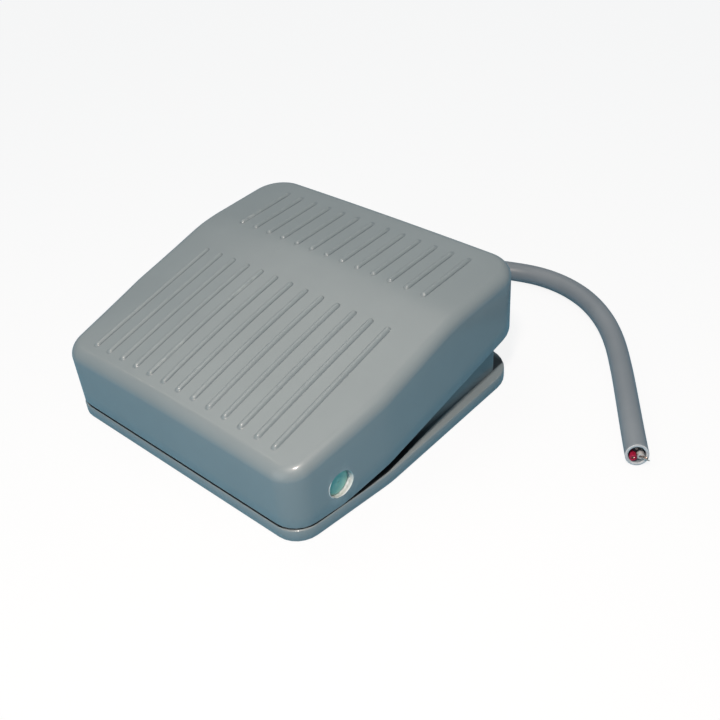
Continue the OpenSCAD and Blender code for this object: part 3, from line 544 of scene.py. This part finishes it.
def smooth(mesh, sharp=None):
    # Smooth shading, but for edges that turn by more than so many degrees
    mesh.polygons.foreach_set("use_smooth", [True] * len(mesh.polygons))
    mesh.update()
    if sharp:
        mesh.set_sharp_from_angle(angle=math.radians(sharp))


def addPiece(name, verts, faces, material, body, sharp=None):
    mesh = solidMesh(name, verts, faces)
    smooth(mesh, sharp)
    obj = link(bpy.data.objects.new(name, mesh))
    mesh.materials.append(finish[material])
    if body:
        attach(obj, body)
    return obj


def turnsOf(sides):
    return [2 * math.pi * k / sides for k in range(sides)]


def lathe(profile, centre, sides, sign):
    # Closed profile of (along, radius) turned round a line parallel to X, all in millimetres
    cx, cy, cz = centre
    verts, faces = [], []
    for along, r in profile:
        verts += [((cx + sign * along) * mm, (cy + r * math.cos(t)) * mm,
                   (cz + r * math.sin(t)) * mm) for t in turnsOf(sides)]
    for i in range(len(profile)):
        for k in range(sides):
            a, b, j = i * sides, (i + 1) % len(profile) * sides, (k + 1) % sides
            faces.append((a + k, a + j, b + j, b + k))
    return verts, faces


# Cable, with its cut end

cable = {
    "route": [
        (0, 60.6, 9.5), (0.5, 66.3, 9.2), (2.1, 71.9, 8.3), (4.6, 77.1, 7.1), (8.1, 81.7, 5.7),
        (12.3, 85.6, 4.4), (17.2, 88.8, 3.6), (22.7, 91.3, 3.3), (28.5, 93, 3.3),
        (34.4, 93.6, 3.3), (40.3, 93.2, 3.3), (46, 91.9, 3.3), (51.4, 89.8, 3.3),
        (56.5, 86.9, 3.3), (61.3, 83.4, 3.3), (65.8, 79.4, 3.3), (69.9, 75, 3.3),
        (73.8, 70.3, 3.3), (77.4, 65.4, 3.3), (81, 60.5, 3.3), (84.4, 55.6, 3.3),
        (87.8, 50.7, 3.3), (91.1, 45.9, 3.3), (94.4, 41.1, 3.3), (97.8, 36.2, 3.3),
        (101.2, 31.4, 3.3),
    ],
    "steps": 6, "sides": 48, "sharp": 50,
    "radius": 3.3, "bore": 2.45, "hollow": 7.0,
    "rim": 0.15, "mouth": 0.2, "pinhole": 0.05, "slant": 1.3,
    "paleInset": 0.05, "paleDepth": 0.3,
    # how far each core lies across and up, and stands out of the cut
    "cores": {
        "coreRed": (-1.0, -0.95, 0.8),
        "coreBlack": (-0.15, 1.25, -0.6),
        "coreWhite": (1.1, -0.62, 0.6),
    },
}
core = {
    "radius": 1.02, "conductor": 0.5, "root": 5.5, "rim": 0.08, "stripDepth": 0.5,
    "mouth": 0.06, "throat": 0.02, "pinhole": 0.03, "sides": 28, "sharp": 40,
}
strands = {
    "count": 7, "radius": 0.15, "spread": 0.33, "root": 1.2, "reach": -0.1, "splayReach": 1.1,
    "aside": 1.3, "asideStep": 0.14, "lift": 0.35, "liftStep": -0.1, "curl": 2.2,
    "tipShare": 0.6, "steps": 6, "sides": 8,
}


def smoothRoute(points, steps):
    # Uniform cubic spline beside the route's points, with both ends straight
    pts = [Vector(p) for p in points]
    pts = [2 * pts[0] - pts[1]] + pts + [2 * pts[-1] - pts[-2]]
    out = []
    for a, b, c, d in zip(pts, pts[1:], pts[2:], pts[3:]):
        for k in range(steps):
            t = k / steps
            out.append(((1 - t) ** 3 * a + (3 * t ** 3 - 6 * t ** 2 + 4) * b
                        + (3 * t + 3 * t ** 2 - 3 * t ** 3 + 1) * c + t ** 3 * d) / 6)
    return out + [pts[-2]]


def ringAt(centre, ahead, radius, sides):
    u = ahead.cross(zAxis).normalized()
    w = u.cross(ahead)
    return [tuple((centre + radius * (math.cos(t) * u + math.sin(t) * w)) * mm)
            for t in turnsOf(sides)]


def tubeFaces(rings, sides, base=0):
    faces = []
    for i in range(rings - 1):
        for k in range(sides):
            j = (k + 1) % sides
            a, b = base + i * sides, base + (i + 1) * sides
            faces.append((a + k, a + j, b + j, b + k))
    last = base + (rings - 1) * sides
    return faces + [tuple(base + k for k in reversed(range(sides))),
                    tuple(last + k for k in range(sides))]


def addCable():
    c = cable
    sides, radius, bore, hollow = c["sides"], c["radius"], c["bore"], c["hollow"]
    route = smoothRoute(c["route"], c["steps"])
    tip, endDir = route[-1], (route[-1] - route[-2]).normalized()

    def slantAt(height):
        # The cut's reach at a height: longest underneath
        return c["slant"] * (tip.z + radius - height) / (2 * radius)

    verts = ringAt(route[0], Vector((0, 1, 0)), radius, sides)
    for before, p, after in zip(route, route[1:], route[2:]):
        verts += ringAt(p, (after - before).normalized(), radius, sides)
    # The cut end: a thick sheath round a hollow that holds the cores
    rim, mouth = c["rim"], c["mouth"]
    for along, r in [(-rim, radius), (0, radius - rim), (0, bore + mouth), (-mouth, bore),
                     (-hollow, bore), (-hollow, c["pinhole"])]:
        ring = ringAt(tip + endDir * along, endDir, r, sides)
        if along > -hollow:
            ring = [tuple(Vector(v) + endDir * slantAt(v[2] / mm) * mm) for v in ring]
        verts += ring
    tube = addPiece("cableSheath", verts, tubeFaces(len(verts) // sides, sides), "jacket", "base",
                    c["sharp"])
    tube.data.materials.append(finish["cutSheath"])
    for face in tube.data.polygons:
        out = face.center / mm - tip
        along = out.dot(endDir)
        inside = (out - endDir * along).length < radius - c["paleInset"]
        atCut = along - slantAt(tip.z + out.z) > -c["paleDepth"]
        face.material_index = 1 if inside and atCut else 0
    side = endDir.cross(zAxis).normalized() * -1
    for name, (across, up, out) in c["cores"].items():
        centre = tip + side * across + Vector((0, 0, up))
        addCore(name, centre, endDir, out)
        addStrands(name + "Strands", centre, endDir, side, out, name == "coreWhite")
    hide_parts("cable")
    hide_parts("cable_cores")


def addCore(name, centre, ahead, out):
    # Insulation from inside the hollow to its cut, which is bored for the strands
    c = core
    r, bare, rim, floor = c["radius"], c["conductor"], c["rim"], out - c["stripDepth"]
    profile = [(-c["root"], r), (out - rim, r), (out, r - rim), (out, bare + c["mouth"]),
               (floor, bare + c["throat"]), (floor, c["pinhole"])]
    verts = []
    for along, q in profile:
        verts += ringAt(centre + ahead * along, ahead, q, c["sides"])
    return addPiece(name, verts, tubeFaces(len(profile), c["sides"]), name, "base",
                    c["sharp"])


def addStrands(name, centre, ahead, side, out, splayed):
    # One strand amid a ring; those of the pale core are pulled out and splayed to one side
    c = strands
    reach = c["splayReach"] if splayed else c["reach"]
    verts, faces = [], []
    middle = c["count"] - 1
    for n in range(c["count"]):
        a = 2 * math.pi * n / middle
        spread = 0 if n == middle else c["spread"]
        off = (side * math.cos(a) + zAxis * math.sin(a)) * spread
        bend = side * (c["aside"] + c["asideStep"] * n) + zAxis * (c["lift"] + c["liftStep"] * n)
        base = len(verts)
        for k in range(c["steps"] + 1):
            t = k / c["steps"]
            p = centre + off + ahead * (out - c["root"] + t * (c["root"] + reach))
            if splayed:
                p += bend * t ** c["curl"]
            radius = c["radius"] * (c["tipShare"] if k == c["steps"] else 1)
            verts += ringAt(p, ahead, radius, c["sides"])
        faces += tubeFaces(c["steps"] + 1, c["sides"], base)
    return addPiece(name, verts, faces, "copper", "base")


addCable()

# Pedal: a rolled-edge cover with two rows of ribs on a softly crowned top

pedal = {
    "width": 104.0, "frontWidth": 96.2, "baseLength": 96.6, "overhang": 2.4, "taperLength": 33.6,
    "inset": 0.2, "frontCorner": 7.8, "rearCorner": 11.0, "sideBend": 40.0,
    "frontHeight": 24.8, "frontSlope": 12.2, "rearSlope": 1.7, "bendPlace": 63.5, "bendHalf": 6.5,
    "swell": 1.0, "swellShort": 2, "swellSide": 1.4,
    "frontFall": 0.9, "rearFall": 0.35, "fallInset": 7, "roll": 3.4,
    "openAngle": 10.0, "frontAngle": 2.0, "ledge": 4.0, "edgeGap": 0.3,
    "pivotPlace": 16.5, "pivotHeight": 11.8,
    "ribCount": 13, "ribPitch": 6.25, "ribHalf": 0.86, "ribHeight": 0.72, "ribFillet": 0.34,
    "ribSteep": 0.97, "ribFlank": 3, "ribRows": ((5.4, 47.3), (67.6, 22.5)),
    "proud": 0.05, "skin": 1.0, "lipRound": 0.4, "lipWidth": 2.2, "sharp": 48,
    "lipChamfer": 0.25, "lipChamferRise": 0.28, "lipRelief": 0.03, "lipTop": 1.4,
    "liningFoot": 1.6, "liningHead": 0.2,
}
# How finely the skin is divided: rows crowd round the ribs' ends, and columns round the ribs
skinGrid = {
    "frontCorner": 16, "rearCorner": 18, "roll": 14,
    "lip": (0, 0.5, 1), "wall": (0.25, 0.5, 0.75),
    "endRows": range(-3, 12), "endStep": 0.16, "endShift": 0.35,
    "firstRow": 1.2, "rowStep": 1.7, "rowGap": 0.6, "rowMargin": 0.3,
    "columns": (0.0, 0.2, 0.38, 0.54, 0.68, 0.8, 0.92, 1.06, 1.25, 1.5),
}
hole = {"radius": 4.15, "sides": 72, "place": 50, "depth": 8}
notch = {"radius": 7.33, "top": 28.7, "steps": 24, "reach": (-4, 2)}
frontY = -(pedal["baseLength"] + pedal["overhang"]) / 2
pedalFront = frontY + pedal["inset"]
pedalRear = -frontY
bendY = frontY + pedal["bendPlace"]
pivotY = frontY + pedal["pivotPlace"]
taper = math.atan((pedal["width"] - pedal["frontWidth"]) / 2 / pedal["taperLength"])
quarter = math.radians(90)


def tanDeg(a):
    return math.tan(math.radians(a))


def spineHeight(y):
    p = pedal
    rise, rearRise = tanDeg(p["frontSlope"]), tanDeg(p["rearSlope"])
    front = p["frontHeight"] + (y - pedalFront) * rise
    if y < bendY - p["bendHalf"]:
        return front
    if y > bendY + p["bendHalf"]:
        return p["frontHeight"] + (bendY - pedalFront) * rise + (y - bendY) * rearRise
    s = y - bendY + p["bendHalf"]
    return front + (rearRise - rise) * s * s / 4 / p["bendHalf"]


def topHeight(x, y):
    # The spine, swollen along the front row of ribs, with both sides falling away
    p = pedal
    side = (x / (p["width"] / 2 - p["fallInset"])) ** 2
    along = (y - pedalFront) / (p["baseLength"] + p["overhang"])
    share = max(0, min(1, (y - frontY) / (p["bendPlace"] - p["swellShort"])))
    swell = p["swell"] * math.sin(math.pi * share)
    fall = p["frontFall"] + (p["rearFall"] - p["frontFall"]) * along
    return spineHeight(y) + swell * (1 - p["swellSide"] * side) - fall * side


def lowHeight(y):
    # The lower edge, which rises both ways from under the axle
    p = pedal
    s = y - pivotY
    a = math.radians(p["openAngle"] if s > 0 else p["frontAngle"])
    edge = p["pivotHeight"] - p["ledge"] - p["edgeGap"]
    return p["pivotHeight"] - edge / math.cos(a) + abs(s) * math.tan(a)


def ribHeightAt(x, y):
    # A round bar sunk in the top, with a plain flank and a fillet at its foot
    p = pedal
    column = round(x / p["ribPitch"])
    if abs(column) > p["ribCount"] // 2:
        return 0.0
    r, k = p["ribHalf"], p["ribFillet"]
    sunk, steep = r - p["ribHeight"], r * p["ribSteep"]
    best = 0.0
    for start, run in p["ribRows"]:
        y0, y1 = pedalFront + start + r, pedalFront + start + run - r
        d = math.hypot(x - column * p["ribPitch"], max(y0 - y, 0, y - y1))
        bar = min(d, steep)
        a = math.sqrt(r * r - bar * bar) - sunk - (d - bar) * p["ribFlank"]
        best = max(best, max(a, 0) + max(k - abs(a), 0) ** 2 / (4 * k))
    return best


def rowPlaces(startY, stopY):
    p, s = pedal, skinGrid
    places = set()
    for start, run in p["ribRows"]:
        for end, sign in ((pedalFront + start, 1), (pedalFront + start + run, -1)):
            for k in s["endRows"]:
                places.add(round(end + sign * (k * s["endStep"]) + s["endShift"], 3))
    y = startY + s["firstRow"]
    while y < stopY - s["rowGap"]:
        if all(abs(y - e) > s["rowGap"] for e in places):
            places.add(round(y, 3))
        y += s["rowStep"]
    return sorted(e for e in places if startY + s["rowMargin"] < e < stopY - s["rowMargin"])


def columnPlaces():
    pitch, half = pedal["ribPitch"], pedal["ribCount"] // 2
    xs = set()
    for c in range(-half, half + 1):
        for offset in skinGrid["columns"]:
            xs |= {round(c * pitch + offset, 4), round(c * pitch - offset, 4)}
        if c < half:
            xs.add(round((c + 0.5) * pitch, 4))
    return sorted(xs)


def rightSide():
    # Points of the right half of the outline with outward directions, front to rear
    p, a, inset = pedal, taper, pedal["inset"]
    straight = p["frontWidth"] / 2 - inset / math.cos(a)
    frontX = straight + (pedalFront - frontY) * math.tan(a)
    front, rear = p["frontCorner"], p["rearCorner"]
    cornerX = frontX - front * (1 - math.sin(a)) / math.cos(a)
    bendR = p["sideBend"] - inset
    bendC = frontY + p["taperLength"] + p["sideBend"] * math.tan(a / 2)
    halfW = p["width"] / 2 - inset
    rearX, rearC = halfW - rear, pedalRear - rear
    pts = []
    for k in range(1, skinGrid["frontCorner"] + 1):
        t = -quarter + (quarter - a) * k / skinGrid["frontCorner"]
        pts.append(((cornerX + front * math.cos(t), pedalFront + front * (1 + math.sin(t))),
                    (math.cos(t), math.sin(t))))
    for y in rowPlaces(pts[-1][0][1], rearC):
        if y < bendC - bendR * math.sin(a):
            pts.append(((straight + (y - frontY) * math.tan(a), y), (math.cos(a), -math.sin(a))))
        elif y < bendC:
            t = math.asin((y - bendC) / bendR)
            pts.append(((halfW - bendR + bendR * math.cos(t), y), (math.cos(t), math.sin(t))))
        else:
            pts.append(((halfW, y), (1.0, 0.0)))
    for k in range(skinGrid["rearCorner"]):
        t = quarter * k / skinGrid["rearCorner"]
        pts.append(((rearX + rear * math.cos(t), rearC + rear * math.sin(t)),
                    (math.cos(t), math.sin(t))))
    return cornerX, rearX, pts


def addPedal():
    p = pedal
    proud, lip, roll, skin, width = p["proud"], p["lipRound"], p["roll"], p["skin"], p["lipWidth"]
    cornerX, rearX, right = rightSide()
    xs = columnPlaces()
    # One ring: front edge left to right, right side, rear edge right to left, left side
    front = [((x, pedalFront), (0.0, -1.0)) for x in [-cornerX] + xs + [cornerX]]
    rear = [((x, pedalRear), (0.0, 1.0)) for x in [rearX] + xs[::-1] + [-rearX]]
    left = [((-x, y), (-nx, ny)) for (x, y), (nx, ny) in reversed(right)]
    ring = front + right + rear + left
    n, m = len(ring), len(front)
    verts = []

    def addRing(inward, height):
        start = len(verts)
        for (x, y), (nx, ny) in ring:
            x, y = x - nx * inward, y - ny * inward
            verts.append((x, y, height(x, y)))
        return start

    def bands(starts):
        return [(a + i, a + (i + 1) % n, b + (i + 1) % n, b + i)
                for a, b in zip(starts, starts[1:]) for i in range(n)]

    # The lip's outer round, the wall, and the roll over to the top
    outer = []
    for share in skinGrid["lip"]:
        t = quarter * share
        outer.append(addRing(lip * (1 - math.sin(t)) - proud,
                             lambda x, y: lowHeight(y) + lip * (1 - math.cos(t))))
    for share in skinGrid["wall"]:
        outer.append(addRing(-proud, lambda x, y: (lowHeight(y) + lip) * (1 - share)
                             + (topHeight(x, y) + proud - roll) * share))
    for k in range(skinGrid["roll"] + 1):
        t = quarter * k / skinGrid["roll"]
        outer.append(addRing(roll * (1 - math.cos(t)) - proud,
                             lambda x, y: topHeight(x, y) + proud - roll * (1 - math.sin(t))))
    faces = bands(outer)
    # Top grid between the left and right sides
    crest = outer[-1]
    grid = [[crest + c for c in range(m)]]
    for i in range(1, len(right) + 1):
        r, l = crest + m + i - 1, crest + n - i
        y = verts[r][1]
        grid.append([l] + [len(verts) + c for c in range(len(xs))] + [r])
        verts += [(x, y, topHeight(x, y) + proud + ribHeightAt(x, y)) for x in xs]
    grid.append([crest + m + len(right) + m - 1 - c for c in range(m)])
    for a, b in zip(grid, grid[1:]):
        faces += [(a[c], a[c + 1], b[c + 1], b[c]) for c in range(m - 1)]
    # Under the lip and back up inside it, then a thin lining that closes the skin
    lining = [addRing(inward, height) for inward, height in (
        (width - p["lipChamfer"], lambda x, y: lowHeight(y)),
        (width + p["lipRelief"], lambda x, y: lowHeight(y) + p["lipChamferRise"]),
        (width + p["lipRelief"], lambda x, y: lowHeight(y) + p["lipTop"]),
        (skin, lambda x, y: lowHeight(y) + p["liningFoot"]),
        (skin, lambda x, y: topHeight(x, y) - roll - p["liningHead"]),
        (roll, lambda x, y: topHeight(x, y) - skin),
    )]
    faces += bands(lining[::-1] + [outer[0]])
    last = lining[-1]
    tail = last + m + len(right)
    inner = range(m - 1, -1, -1)
    faces.append(tuple([last + n - 1, last + m] + [last + c for c in inner]))
    for i in range(len(right) - 1):
        faces.append((last + m + i, last + n - 1 - i, last + n - 2 - i, last + m + i + 1))
    faces.append(tuple([tail - 1, tail + m] + [tail + c for c in inner]))
    verts = [(x * mm, y * mm, z * mm) for x, y, z in verts]
    piece = addPiece("pedalSkin", verts, faces, "pedalEnamel", "pedal")
    cutHoles(piece)
    cutNotch(piece)
    piece.data.set_sharp_from_angle(angle=math.radians(p["sharp"]))
    print("pedal skin:", len(piece.data.polygons), "faces")


def cutFrom(piece, cutter, material):
    # What is cut takes the cutter's finish
    cutter.data.materials.append(finish[material])
    cut = piece.modifiers.new("cut", "BOOLEAN")
    cut.operation, cut.solver, cut.object = "DIFFERENCE", "EXACT", cutter
    cut.material_mode = "TRANSFER"
    bpy.context.view_layer.objects.active = piece
    bpy.ops.object.modifier_apply(modifier=cut.name)
    bpy.data.objects.remove(cutter)


def cutHoles(piece):
    piece.data.materials.append(finish["bareHole"])
    for side in (-1, 1):
        bpy.ops.mesh.primitive_cylinder_add(
            vertices=hole["sides"], radius=hole["radius"] * mm, depth=hole["depth"] * mm,
            location=(side * hole["place"] * mm, pivotY * mm, pedal["pivotHeight"] * mm),
            rotation=(0, quarter, 0))
        cutFrom(piece, bpy.context.object, "bareHole")


def cutNotch(piece):
    # Arched notch in the rear wall, which comes down over the cable's boot
    r, spring = notch["radius"], notch["top"] - notch["radius"]
    turns = [math.pi * k / notch["steps"] for k in range(notch["steps"] + 1)]
    arch = [(-r * math.cos(t), spring + r * math.sin(t)) for t in turns]
    arch = [(-r, 0.0)] + arch + [(r, 0.0)]
    n = len(arch)
    verts = [(x * mm, (pedalRear + y) * mm, z * mm) for y in notch["reach"] for x, z in arch]
    faces = [tuple(range(n)), tuple(reversed(range(n, 2 * n)))]
    faces += [(k, k + n, (k + 1) % n + n, (k + 1) % n) for k in range(n)]
    cutter = bpy.data.objects.new("notchCutter", solidMesh("notchCutter", verts, faces))
    cutFrom(piece, link(cutter), "pedalEnamel")


addPedal()

# The machined wall of each axle hole, and the axle's passivated end inside it

holeWall = {"place": 48.0, "depth": 1.5, "thick": 0.22, "sides": 72, "sharp": 40}
axleEnd = {
    "place": 48.15, "sides": 56,
    "profile": [(0, 0.02), (0, 3.5), (0.25, 3.92), (0.5, 3.6), (0.62, 3.0), (0.68, 2.0),
                (0.7, 1.0), (0.62, 0.5), (0.5, 0.02)],
}


def addAxleEnds():
    r, c = hole["radius"], holeWall
    wall = [(0, r), (c["depth"], r), (c["depth"], r + c["thick"]), (0, r + c["thick"])]
    for side, word in ((-1, "Left"), (1, "Right")):
        centre = (side * c["place"], pivotY, pedal["pivotHeight"])
        verts, faces = lathe(wall, centre, c["sides"], side)
        addPiece("holeWall" + word, verts, faces, "bareHole", "pedal", c["sharp"])
        centre = (side * axleEnd["place"], pivotY, pedal["pivotHeight"])
        verts, faces = lathe(axleEnd["profile"], centre, axleEnd["sides"], side)
        addPiece("axleEnd" + word, verts, faces, "passivated", "base")
    print("axle ends and hole walls added")


addAxleEnds()

# Return springs, which shorten between the base and the pedal

spring = {
    "x": 27.0, "y": 26.55, "low": 3.65, "high": 35.43, "radius": 5.2, "wire": 0.65, "turns": 7,
    "endRise": 0.975, "steps": 20, "sides": 12, "sharp": 50,
}


def addSprings():
    c = spring
    sides, turns, endRise = c["sides"], c["turns"], c["endRise"]
    rise = (c["high"] - c["low"] - 2 * endRise) / (turns - 2)
    for side, word in ((-1, "Left"), (1, "Right")):
        path = []
        for k in range(turns * c["steps"] + 1):
            s = k / c["steps"]
            a = 2 * math.pi * s
            # A close coil at each end, and open coils between
            if s < 1:
                z = c["low"] + endRise * s
            elif s > turns - 1:
                z = c["high"] - endRise * (turns - s)
            else:
                z = c["low"] + endRise + rise * (s - 1)
            path.append(Vector((side * c["x"] + c["radius"] * math.cos(a),
                                c["y"] + c["radius"] * math.sin(a), z)))
        ahead = [(b - a).normalized() for a, b in zip(path, path[1:])]
        mean = [(a + b).normalized() for a, b in zip(ahead, ahead[1:])]
        verts = []
        for q, d in zip(path, [ahead[0]] + mean + [ahead[-1]]):
            verts += ringAt(q, d, c["wire"], sides)
        coil = addPiece("coilSpring" + word, verts, tubeFaces(len(path), sides), "spring", None,
                        c["sharp"])
        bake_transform(coil)
        if side < 0:
            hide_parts("return_springs")
    print("return springs added")


addSprings()

# Base: the casting's own form with every edge softened, as paint and a die leave it

casting = {
    "edge": 0.22, "segments": 2, "flat": 1.0, "sharp": 35.0,
    "under": 0.5, "underTo": 0.08, "skirt": 0.8, "skirtTo": 0.3,
    "skirtNear": 0.9, "skirtPull": 0.35, "sameSpot": 1e-6, "sameHeight": 1e-5,
}


def addBase():
    c = casting

    def atHeight(verts, height):
        return [v for v in verts if abs(v.co.z - height * mm) < c["sameHeight"]]

    mesh = nodes["base_casting"].data.copy()
    mesh.name = "baseTray"
    bm = bmesh.new()
    bm.from_mesh(mesh)
    bmesh.ops.remove_doubles(bm, verts=bm.verts, dist=c["sameSpot"])
    # The skirt reaches almost down to what the tray stands on
    skirt = atHeight(bm.verts, c["skirt"])
    for v in atHeight(bm.verts, c["under"]):
        near = min(skirt, key=lambda q: (q.co.xy - v.co.xy).length)
        if (near.co.xy - v.co.xy).length < c["skirtNear"] * mm:
            v.co.xy = near.co.xy + (v.co.xy - near.co.xy) * c["skirtPull"]
        v.co.z = c["underTo"] * mm
    for v in skirt:
        v.co.z = c["skirtTo"] * mm
    bmesh.ops.dissolve_limit(bm, angle_limit=math.radians(c["flat"]), verts=bm.verts,
                             edges=bm.edges, delimit={"NORMAL"})
    bm.to_mesh(mesh)
    bm.free()
    smooth(mesh)
    base = link(bpy.data.objects.new("baseTray", mesh))
    bevel = base.modifiers.new("softEdges", "BEVEL")
    bevel.width, bevel.segments = c["edge"] * mm, c["segments"]
    bevel.limit_method, bevel.angle_limit = "ANGLE", math.radians(c["sharp"])
    bevel.use_clamp_overlap = True
    bevel.harden_normals = True
    mesh.materials.clear()
    mesh.materials.append(finish["trayEnamel"])
    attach(base, "base")
    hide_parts("base_casting")
    print("base tray:", len(mesh.polygons), "faces")


addBase()

# Floor and light

studio = {
    "floorColour": (0.18, 0.41, 0.56), "floorGlow": 0.86, "floorHalf": 3.0, "floorHeight": -0.0001,
    "skyColour": (0.52, 0.70, 0.82), "skyLevel": 0.33, "white": (1.0, 1.0, 1.0),
    "lampAim": (0, 0, 0.02),
}
lamps = {
    "keyLamp": {
        "power": 1.05, "size": (0.045, 0.045), "place": (0.14, -0.145, 0.34),
        "colour": (1.0, 0.87, 0.78)},
    "panelLamp": {
        "power": 2.0, "size": (0.9, 0.9), "place": (-0.62, 0.30, 1.15),
        "colour": (1.0, 0.90, 0.80)},
    "fillLamp": {
        "power": 0.50, "size": (0.4, 0.4), "place": (0.0, -0.55, 0.14),
        "colour": (0.92, 0.98, 1.0)},
    "tubeLamp": {
        "power": 0.4, "size": (0.9, 0.012), "place": (-0.64, -0.07, 0.90),
        "colour": (1.0, 0.86, 0.74)},
}


def mixForCamera(tree, seen, plain, shown, output):
    # One shader for the light's sake and another for what the camera sees
    mix = tree.nodes.new("ShaderNodeMixShader")
    tree.links.new(seen, mix.inputs["Fac"])
    tree.links.new(plain.outputs[0], mix.inputs[1])
    tree.links.new(shown.outputs[0], mix.inputs[2])
    tree.links.new(mix.outputs[0], tree.nodes[output].inputs["Surface"])


def addFloor():
    bm = bmesh.new()
    bmesh.ops.create_grid(bm, x_segments=1, y_segments=1, size=studio["floorHalf"])
    mesh = bpy.data.meshes.new("floor")
    bm.to_mesh(mesh)
    bm.free()
    floor = link(bpy.data.objects.new("floor", mesh))
    floor.location.z = studio["floorHeight"]
    m = bpy.data.materials.new("floorPaper")
    m.use_nodes = True
    tree = m.node_tree
    shader = tree.nodes["Principled BSDF"]
    shader.inputs["Roughness"].default_value = 1.0
    shader.inputs["Specular IOR Level"].default_value = 0.0
    glow = tree.nodes.new("ShaderNodeEmission")
    seen = tree.nodes.new("ShaderNodeLightPath").outputs["Is Camera Ray"]
    paper = mixNode(tree, seen, studio["floorColour"], studio["white"])
    tree.links.new(paper, shader.inputs["Base Color"])
    mixForCamera(tree, times(tree, seen, studio["floorGlow"]), shader, glow, "Material Output")
    mesh.materials.append(m)


def addLamp(name, lamp):
    data = bpy.data.lights.new(name, "AREA")
    data.shape, data.energy, data.color = "RECTANGLE", lamp["power"], lamp["colour"]
    data.size, data.size_y = lamp["size"]
    obj = link(bpy.data.objects.new(name, data))
    obj.location = lamp["place"]
    away = (Vector(lamp["place"]) - Vector(studio["lampAim"])).normalized()
    across = Vector((0, 1, 0)).cross(away).normalized()
    obj.rotation_euler = Matrix((across, away.cross(across), away)).transposed().to_euler()


def addWorld():
    world = bpy.data.worlds.new("studio")
    bpy.context.scene.world = world
    world.use_nodes = True
    tree = world.node_tree
    sky = tree.nodes["Background"]
    sky.inputs["Color"].default_value = (*studio["skyColour"], 1)
    sky.inputs["Strength"].default_value = studio["skyLevel"]
    backdrop = tree.nodes.new("ShaderNodeBackground")
    backdrop.inputs["Color"].default_value = (*studio["white"], 1)
    seen = tree.nodes.new("ShaderNodeLightPath").outputs["Is Camera Ray"]
    mixForCamera(tree, seen, sky, backdrop, "World Output")


addFloor()
addWorld()
for name, lamp in lamps.items():
    addLamp(name, lamp)
bpy.context.scene.view_settings.view_transform = "Standard"
print("floor and light set")
